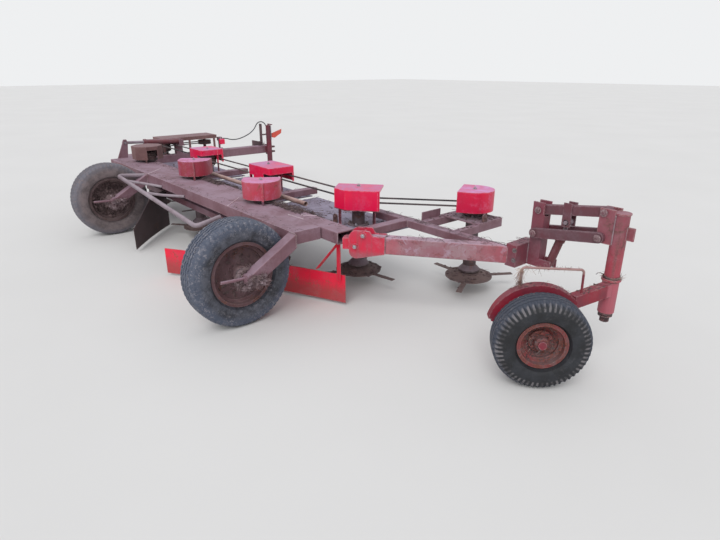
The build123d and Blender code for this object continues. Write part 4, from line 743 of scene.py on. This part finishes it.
# Litter on the frame
stalks, clods = Heap(11), Heap(12)
decks = surface("deck_sheets", "cross_members", "rear_rail", "left_side_member",
                "spindle_housings")
rails = surface("rear_rail", "front_rail", "rotor_outrigger", "cross_members")
arm = surface("slanting_arm", "castor_post", "arm_bracket")
SHORT = (0.02, 0.08)
LITTER = [
    # on what, the box's low and high corner, stalks, clods, clods' radii, pile, stalks' lengths
    (decks, (-4.30, 0.085, 0.49), (-0.13, 0.745, 0.64), 760, 420),
    (decks, (-4.20, 0.085, 0.49), (-0.13, 0.230, 0.60), 340, 460, (0.004, 0.014)),
    (decks, (-1.02, 0.085, 0.49), (-0.60, 0.260, 0.60), 760, 420, (0.008, 0.024), 0.08),
    (decks, (-2.42, 0.085, 0.49), (-2.00, 0.260, 0.60), 700, 380, (0.008, 0.022), 0.07),
    (decks, (-3.80, 0.085, 0.49), (-3.30, 0.260, 0.60), 360, 260, (0.006, 0.018), 0.04),
    (rails, (-1.00, 0.000, 0.60), (-0.60, 0.078, 0.66), 260, 150, (0.003, 0.010), 0.02, SHORT),
    (rails, (-2.42, 0.000, 0.60), (-2.02, 0.078, 0.66), 260, 150, (0.003, 0.010), 0.02, SHORT),
    (rails, (-4.30, -0.020, 0.60), (-0.05, 0.078, 0.66), 150, 110, (0.002, 0.006), 0.0,
     (0.02, 0.06)),
    (rails, (-0.35, 0.605, 0.58), (0.88, 0.675, 0.66), 90, 40, (0.002, 0.006)),
    (rails, (0.07, 0.70, 0.58), (0.44, 1.18, 0.66), 60, 60, (0.003, 0.010)),
    (arm, (0.02, -0.05, 0.58), (1.10, 0.80, 0.70), 90, 50, (0.002, 0.006)),
]
for tree, low, high, *amounts in LITTER:
    strew(stalks, clods, tree, at(*low), at(*high), *amounts)
stalks.piece("frame_straw", "old_straw", "frame")
clods.piece("frame_clods", "dried_mud", "frame")

# Litter on the rocking axle, and a bundle wound round each stub axle
stalks, clods, pale = Heap(21), Heap(22), Heap(23)
strew(stalks, clods, surface("axle_beam", "wheel_arms", "rear_guard"), at(-4.20, -0.32, 0.60),
      at(-0.20, -0.215, 0.66), 110, 80, (0.002, 0.006))
HUB_DROP = 0.012


def around(turn, wide, tall, aside):
    """Step from a hub to a place on the bundle round it, which sags a little."""
    return Vector((aside, wide * math.cos(turn), tall * math.sin(turn) - HUB_DROP))


for hub_x, share in ((-0.238, 1.0), (-3.113, 0.8)):
    hub, near = at(hub_x, WHEEL_Y, WHEEL_Z), at(hub_x + 0.090, WHEEL_Y, WHEEL_Z)
    draw = clods.rng.uniform
    for k in range(int(46 * share)):
        turn, size = draw(0, 2 * math.pi), draw(0.009, 0.021)
        spot = hub + around(turn, 0.064, 0.060, draw(-0.012, 0.012))
        shape = (size * 0.7, size * draw(0.9, 1.8), size)
        (pale if k % 3 else clods).lump(spot, shape, 2, 0.8)
    for k in range(int(34 * share)):
        spot = near + Vector((draw(-0.006, 0.004), draw(-0.035, 0.080), draw(-0.040, 0.024)))
        size = draw(0.007, 0.016)
        shape = (size * 0.7, size * draw(1.0, 2.0), size)
        (pale if k % 3 else clods).lump(spot, shape, 2, 0.8)
    draw = stalks.rng.uniform
    for k in range(int(420 * share)):
        turn, r = draw(0, 2 * math.pi), draw(0.048, 0.078)
        spot = hub + around(turn, r, r, draw(-0.018, 0.018))
        run = Vector((draw(-0.2, 0.2), -math.sin(turn) + draw(-0.4, 0.4),
                      math.cos(turn) + draw(-0.4, 0.4)))
        stalks.straw(spot, run, draw(0.03, 0.085), 0.0, draw(0.0008, 0.0016))
    for k in range(int(250 * share)):
        spot = near + Vector((draw(0.0, 0.016), draw(-0.050, 0.090), draw(-0.046, 0.030)))
        run = Vector((draw(-0.12, 0.12), draw(-1, 1), draw(-0.5, 0.35)))
        stalks.straw(spot, run, draw(0.02, 0.06), 0.0, draw(0.0008, 0.0016))
stalks.piece("axle_straw", "hub_straw", "axle")
clods.piece("axle_clods", "dried_mud", "axle")
pale.piece("hub_bundle", "pale_mud", "axle")

# Mud caked in the land wheels: side, seed, centre, lumps, reach, widest lump
RIM_REACH, RIM_DEPTH = 0.30, 0.078
for side, seed, centre, count, outer, widest in (("right", 31, RIGHT_WHEEL, 90, 0.190, 0.012),
                                                 ("left", 32, LEFT_WHEEL, 300, 0.196, 0.022)):
    clods, tree = Heap(seed), surface(side + "_rim")
    draw = clods.rng.uniform
    for _ in range(count):
        turn = draw(0, 2 * math.pi)
        r = outer * math.sqrt(draw(0.12, 1.0))
        start = centre + Vector((RIM_REACH, r * math.cos(turn), r * math.sin(turn)))
        spot = tree.ray_cast(start, Vector((-1, 0, 0)))[0]
        if spot is None or spot.x > centre.x + RIM_DEPTH:
            continue
        size = draw(0.004, widest)
        shape = (size * 0.5, size * draw(0.8, 1.6), size)
        clods.lump(spot, shape, 1 if size < 0.007 else 2, 0.8)
    clods.piece(side + "_wheel_mud", "dried_mud", side + "_wheel")

SEAL = [(0.0, 0.048), (0.008, 0.048), (0.011, 0.045), (0.012, 0.036), (0.026, 0.034),
        (0.028, 0.031)]
for side, centre in (("right", RIGHT_WHEEL), ("left", LEFT_WHEEL)):
    seal = Heap(35)
    seal.turned(centre + Vector((0.050, 0, 0)), (1, 0, 0), SEAL, 32)
    seal.piece(side + "_hub_seal", "worn_steel", side + "_wheel", "worn_steel")

# Mud and a little straw in the castor's rim
clods, stalks = Heap(36), Heap(37)
tree, draw = surface("castor_rim"), clods.rng.uniform
for k in range(300):
    turn = draw(0, 2 * math.pi)
    r = 0.120 * math.sqrt(draw(0.0, 1.0))
    across = CASTOR_ALONG * (r * math.cos(turn)) + Vector((0, 0, r * math.sin(turn)))
    for way in (1, -1):
        start = CASTOR_WHEEL + across + CASTOR_OUT * RIM_REACH * way
        spot = tree.ray_cast(start, CASTOR_OUT * -way)[0]
        if spot is None or abs((spot - CASTOR_WHEEL).dot(CASTOR_OUT)) > 0.080:
            continue
        size = draw(0.002, 0.0060)
        clods.lump(spot, (size, size, size * draw(0.6, 1.2)), 1, 0.8)
        if k % 12 == 0:
            run = CASTOR_ALONG * draw(-1, 1) + Vector((0, 0, draw(-1, 1)))
            stalks.straw(spot, run + CASTOR_OUT * way * 0.12, draw(0.02, 0.045), 0.0, 0.0010)
clods.piece("castor_wheel_mud", "dried_mud", "castor_wheel")
stalks.piece("castor_wheel_straw", "dry_straw", "castor_wheel")

# Straw caught on the castor's bow, its handle and the corner by the kingpin
stalks, clods = Heap(41), Heap(42)
rng, draw = stalks.rng, stalks.rng.uniform
tree = surface("castor_arm")
low, high = corners("castor_arm")
BOW_LOW, HANDLE_LOW = 0.47, 0.612
strew(stalks, clods, tree, Vector((low.x, low.y, BOW_LOW)), high - Vector((0, 0, 0.05)), 50, 70,
      (0.002, 0.007), 0.0, (0.02, 0.05))
handle = landings(tree, Vector((low.x, low.y, HANDLE_LOW)), high, 190, rng, 0.15)
left_end = min(handle, key=lambda p: p.x + p.y)
for spot in handle:
    near = (spot - left_end).length < 0.09
    for _ in range(2 if near else 1):
        run = Vector((draw(-1, 1), draw(-1, 1), draw(-1.6, 0.1)))
        stalks.straw(spot - run.normalized() * 0.012, run, draw(0.02, 0.09 if near else 0.05),
                     0.0, draw(0.0007, 0.0013))
for _ in range(110):
    spot = at(1.247, 0.258, 0.0)
    spot += Vector((rng.gauss(0, 0.007), rng.gauss(0, 0.007), draw(0.560, 0.655)))
    run = Vector((draw(-0.7, 0.5), draw(-0.7, 0.4), draw(-1.8, -0.2)))
    stalks.straw(spot, run, draw(0.02, 0.065), 0.0, draw(0.0007, 0.0012))
stalks.piece("castor_straw", "dry_straw", "castor_frame")
clods.piece("castor_clods", "dried_mud", "castor_frame")

# Mud and chaff on the rotors' discs
inset = Vector((0.07, 0.07, 0.0))
for node_name in sorted(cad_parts):
    if not node_name.startswith("rotor_") or node_name == "rotor_outrigger":
        continue
    low, high = corners(node_name)
    top = Vector((high.x, high.y, min(high.z, low.z + 0.20)))
    stalks, clods = Heap(90), Heap(91)
    strew(stalks, clods, surface(node_name), low + inset, top - inset, 50, 110, (0.003, 0.013),
          0.0, (0.02, 0.07))
    stalks.piece(node_name + "_straw", "old_straw", node_name)
    clods.piece(node_name + "_clods", "dried_mud", node_name)

# Bolts on the frame: the arm's bracket, the spindle housings' flanges and the castor post
heads, rusty = Heap(51), Heap(52)
for along, z in ((0.042, 0.634), (-0.015, 0.552)):
    heads.bolt(arm_spot(along, 0.066, z), ARM_SIDE, 0.026, 0.013, 0.004, False)
    rusty.bolt(arm_spot(along, -0.066, z), -ARM_SIDE, 0.026, 0.014, 0.008, False)
ROW_Y = (1.050, 0.455, 0.0, 0.455, 0.0, 0.455, 0.0, 0.455)
FLANGE_TOP, RAISED_TOPS = 0.506, {0: 0.609, 7: 0.580}
for k, y in enumerate(ROW_Y):
    x = FIRST_ROTOR_X - ROTOR_PITCH * k
    if y == 0.0:
        for dx, dy in ((0.084, 0.056), (-0.084, 0.056), (0.084, -0.056), (-0.084, -0.056)):
            rusty.bolt(at(x + dx, y + dy, RAIL_TOP), UP, 0.017, 0.005)
        continue
    top = RAISED_TOPS.get(k, FLANGE_TOP)
    rusty.turned(at(x, y, top), UP, [(0.0, 0.088), (0.007, 0.088), (0.008, 0.086)], 32)
    for q in range(4):
        turn = math.radians(35 + 90 * q)
        spot = at(x + 0.072 * math.cos(turn), y + 0.072 * math.sin(turn), top + 0.008)
        (heads if q == 3 else rusty).bolt(spot, UP, 0.019, 0.010, 0.006)
for z in (0.540, 0.606):
    rusty.bolt(at(0.968, 0.598, z), (0, -1, 0), 0.017, 0.009)
heads.piece("plated_bolts", "plated_bolt", "frame", "bare_steel", 30)
rusty.piece("rusty_bolts", "worn_steel", "frame", "worn_steel", 30)

# Nuts on the hats' lids, where their straps are held
lids = Heap(55)
for x, y, z in ((-0.435, 0.470, 0.815), (0.270, 1.050, 0.827), (-1.165, 0.0, 0.815),
                (-2.520, 0.0, 0.815), (-1.800, 0.455, 0.815), (-3.180, 0.455, 0.815)):
    lids.bolt(at(x, y, z), UP, 0.020, 0.009, 0.010)
lids.piece("lid_nuts", "plated_bolt", "frame", "bare_steel", 30)

# Nuts on the pins of the links: piece, body, the pins' heights, the links' two faces
for name, body, heights, faces in (
        ("lower_link_nuts", "lower_links", (0.717, 0.782), (0.689, 0.851)),
        ("upper_link_nuts", "upper_link", (0.862, 0.927), (0.722, 0.818))):
    nuts = Heap(56)
    for y, way in zip(faces, (-1, 1)):
        for x, z in zip((1.025, 1.440), heights):
            nuts.bolt(at(x, y, z), (0, way, 0), 0.024, 0.010)
    nuts.piece(name, "link_nut_steel", body, "worn_steel", 30)
pins = Heap(57)
for x in (-0.420, -1.780, -3.160, -4.330):
    for way in (-1, 1):
        pins.bolt(at(x + way * 0.034, HINGE_Y, HINGE_Z), (way, 0, 0), 0.022, 0.006)
pins.piece("hinge_pin_nuts", "worn_steel", "frame", "worn_steel", 30)


def upright(x, y, z_low, z_high, radius):
    """A standing weld."""
    return at(x, y, z_low), at(x, y, z_high), radius


def crosswise(x, y, z, half, radius):
    """A level weld along the machine, by its middle and half its length."""
    return at(x - half, y, z), at(x + half, y, z), radius


WELDS = [
    # piece, seed, body, paint, and the two ends and the radius of each weld
    ("frame_welds", 61, "frame", "weld_bead", [
        (arm_spot(0.192, 0.043, 0.506), arm_spot(0.192, 0.043, 0.618), 0.0045),
        (arm_spot(0.192, 0.038, 0.622), arm_spot(0.192, -0.038, 0.622), 0.004),
        upright(-0.006, -0.080, 0.560, 0.625, 0.005),
        (at(0.905, 0.600, 0.600), at(0.905, 0.678, 0.600), 0.005),
        (at(-0.008, 0.0795, 0.602), at(-0.090, RAIL_SIDE, 0.602), 0.0045),
        upright(0.0, 0.600, 0.545, 0.600, 0.0045),
        crosswise(-1.455, RAIL_SIDE, 0.601, 0.038, 0.0045),
        crosswise(-2.835, RAIL_SIDE, 0.601, 0.038, 0.0045),
        *(upright(x, 0.6805, 0.545, 0.597, 0.004) for x in (0.065, 0.115, 0.395, 0.445)),
        upright(0.9825, 0.7275, 0.500, 0.636, 0.005)]),
    ("axle_welds", 62, "axle", "weld_bead", [
        weld for x in (-0.199, -3.074) for weld in (
            crosswise(x, -0.3255, 0.631, 0.043, 0.006),
            upright(x + 0.046, -0.3255, 0.535, 0.630, 0.005))]),
    ("beam_seams", 64, "axle", "bright_weld", [
        (at(-1.174, -0.318, BEAM_TOP), at(-1.386, -0.100, BEAM_TOP), 0.0055),
        (at(-3.010, -0.318, BEAM_TOP), at(-3.240, -0.100, BEAM_TOP), 0.0055)]),
    ("rail_seams", 65, "frame", "bright_weld", [
        (at(-0.640, -0.076, RAIL_TOP), at(-0.452, -0.060, RAIL_TOP), 0.0045),
        (at(-0.560, -0.010, RAIL_TOP), at(-0.470, 0.078, RAIL_TOP), 0.0040)]),
    ("kingpin_welds", 63, "kingpin", "weld_bead", [
        *(upright(1.5085, y, 0.752, 0.925, 0.0045) for y in (0.7275, 0.8125)),
        *(upright(1.5675, y, 0.790, 0.858, 0.0035) for y in (0.7625, 0.7775))]),
]
for name, seed, body, paint, welds in WELDS:
    beads = Heap(seed)
    for weld in welds:
        beads.bead(*weld)
    beads.piece(name, paint, body, "rusty_steel", 60)

# Wire wound on the kingpin above its collar, its loose end, and straw caught in it
wound = Heap(71)
WIRE = 0.0018
for turns, z, r in ((2.3, 0.5495, 0.0462), (1.6, 0.556, 0.0455)):
    wound.tube([at(KINGPIN_X, KINGPIN_Y, z + 0.004 * math.sin(i * 0.9))
                + flat(i / 24 * 2 * math.pi) * r for i in range(int(turns * 24))], WIRE)
wound.tube([at(1.483, 0.756, 0.556), at(1.468, 0.748, 0.566), at(1.455, 0.742, 0.562),
            at(1.447, 0.738, 0.551)], WIRE)
wound.piece("kingpin_wire", "black_steel", "kingpin", "bare_steel", 60)
fuzz = Heap(72)
draw = fuzz.rng.uniform
for _ in range(70):
    turn = draw(0, 2 * math.pi)
    out = flat(turn)
    run = Vector((-math.sin(turn), math.cos(turn), draw(-0.5, 0.5))) + out * 0.25
    spot = at(KINGPIN_X, KINGPIN_Y, draw(0.548, 0.560)) + out * 0.0465
    fuzz.straw(spot, run, draw(0.02, 0.055), 0.0, 0.0010)
fuzz.piece("kingpin_straw", "dry_straw", "kingpin")

# Cap of the valve block on the drawbar
cap = Heap(81)
COVER = [(-0.036, -0.030), (-0.030, -0.036), (0.030, -0.036), (0.036, -0.030), (0.036, 0.030),
         (0.030, 0.036), (-0.030, 0.036), (-0.036, 0.030)]
cap.rings([[at(x, 1.232 + u * k, 0.714 + v * k) for u, v in COVER]
           for x, k in ((-4.412, 1.0), (-4.376, 1.0), (-4.371, 0.9))])
cap.piece("valve_cover", "hat_red", "frame", "red_paint")

# Round-topped ears with a bolt, standing on the deck and on the outrigger
ears = Heap(84)
EAR = 0.026
OUTLINE = [(-EAR, 0.0), *((-EAR * math.cos(t), 0.046 + EAR * math.sin(t))
                          for t in [math.pi * q / 10 for q in range(11)]), (EAR, 0.0)]
for foot, along, across in ((at(-0.585, 0.345, 0.506), (1, 0, 0), (0, 1, 0)),
                            (at(0.432, 0.985, 0.600), (0, 1, 0), (-1, 0, 0))):
    along, across = Vector(along), Vector(across)
    ears.rings([[foot + along * u + across * d + Vector((0, 0, v)) for u, v in OUTLINE]
                for d in (-0.005, 0.005)])
    ears.bolt(foot + across * -0.005 + Vector((0, 0, 0.046)), -across, 0.017, 0.008)
    ears.bead(foot + along * -EAR + across * -0.006, foot + along * EAR + across * -0.006, 0.004)
ears.piece("deck_ears", "brown_rust", "frame", "rusty_steel", 30)

# Rod beside the jack's tube, with its two collars
stay = Heap(85)
stay.tube([at(-4.284, 1.978, z) for z in (0.690, 0.760, 0.880)], 0.007, 12)
for z in (0.700, 0.870):
    stay.turned(at(-4.284, 1.978, z), UP, [(0.0, 0.0095), (0.010, 0.0095)])
stay.piece("jack_side_rod", "plated_bolt", "frame", "bare_steel")

# Twine wound round the foot of the hose post
low, high = corners("hose_post")
middle, reach = (low + high) / 2, (high - low) / 2
twine = Heap(86)
draw = twine.rng.uniform
for _ in range(90):
    turn, z = draw(0, 2 * math.pi), min(low.z + draw(0.03, 0.12), high.z)
    out = flat(turn)
    rim = Vector((out.x * min(reach.x, 0.03), out.y * min(reach.y, 0.03), 0)) * 1.25
    run = Vector((-out.y, out.x, draw(-0.7, 0.7))) + out * 0.15
    twine.straw(Vector((middle.x, middle.y, z)) + rim, run, draw(0.02, 0.07), 0.0,
                draw(0.001, 0.0018))
twine.piece("post_twine", "dry_straw", "frame")

# Fittings at the hose's two ends, and the valve block's screws
fittings = Heap(82)
fittings.bolt(at(-4.440, 1.2462, 0.750), (0, 1, 0), 0.024, 0.012)
for z in (0.738, 0.762):
    fittings.bolt(at(-4.410, 1.220, z), (1, 0, 0), 0.012, 0.006)
fittings.turned(at(-4.440, 1.997, 0.7905), UP, [(0.0, 0.0085), (0.010, 0.0085), (0.012, 0.0075)],
                20)
fittings.piece("hose_fittings", "plated_bolt", "frame", "bare_steel")

# Flag plate on the jack's tube
flag = Heap(83)
plate = [(0.037, 0.000), (0.037, -0.055), (0.090, -0.064), (0.190, 0.008), (0.197, 0.068)]
flag.rings([[at(-4.325, 1.960, JACK_Z + v)
             + Vector((0.643 * u + 0.766 * d, 0.766 * u - 0.643 * d, 0)) for u, v in plate]
            for d in (0.002, -0.002)])
flag.piece("jack_flag", "flag_red", "frame", "red_paint", 30)


# ---- floor, light and camera

net, shader = blank("floor_pale")
tone = net.noise(net.here(), 0.6, 3.0, 0.5)
net.finish(shader, net.mix(tone, (0.66, 0.65, 0.63, 1.0), (0.72, 0.71, 0.69, 1.0)), 0.95)
HALF = 60.0
floor = new_piece("floor", [(-HALF, -HALF, 0), (HALF, -HALF, 0), (HALF, HALF, 0),
                            (-HALF, HALF, 0)], [(0, 1, 2, 3)], "floor_pale")
floor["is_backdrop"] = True

world = bpy.data.worlds.new("studio")
bpy.context.scene.world = world
world.use_nodes = True
world.node_tree.nodes.clear()
sky = Net(world.node_tree)
path = sky.add("ShaderNodeLightPath").outputs
direct = sky.math("MAXIMUM", path["Is Camera Ray"], path["Is Glossy Ray"])
direct = sky.math("MAXIMUM", direct, path["Is Transmission Ray"])
lighting, seen = (sky.add("ShaderNodeBackground", {"Color": colour, "Strength": strength})
                  for colour, strength in (((0.93, 0.95, 1.0, 1.0), 0.78),
                                           ((0.86, 0.87, 0.88, 1.0), 1.0)))
blend = sky.add("ShaderNodeMixShader", {0: direct, 1: lighting.outputs[0], 2: seen.outputs[0]})
sky.add("ShaderNodeOutputWorld", {"Surface": blend.outputs[0]})

sun_data = bpy.data.lights.new("soft_key", "SUN")
sun_data.energy = 1.5
sun_data.angle = math.radians(40)
sun = bpy.data.objects.new("soft_key", sun_data)
sun.rotation_euler = (math.radians(46), 0.0, math.radians(34))
bpy.context.scene.collection.objects.link(sun)

camera_data = bpy.data.cameras.new("camera")
camera_data.sensor_width = 36.0
camera_data.lens = 26.5
camera_data.clip_end = 200.0
camera = bpy.data.objects.new("camera", camera_data)
camera.location = at(2.794, -2.225, 1.70)
camera.rotation_euler = (math.radians(90.0 - 20.9), 0.0, math.radians(50.0))
bpy.context.scene.collection.objects.link(camera)
bpy.context.scene.camera = camera
bpy.context.scene.view_settings.view_transform = "Standard"

low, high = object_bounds()
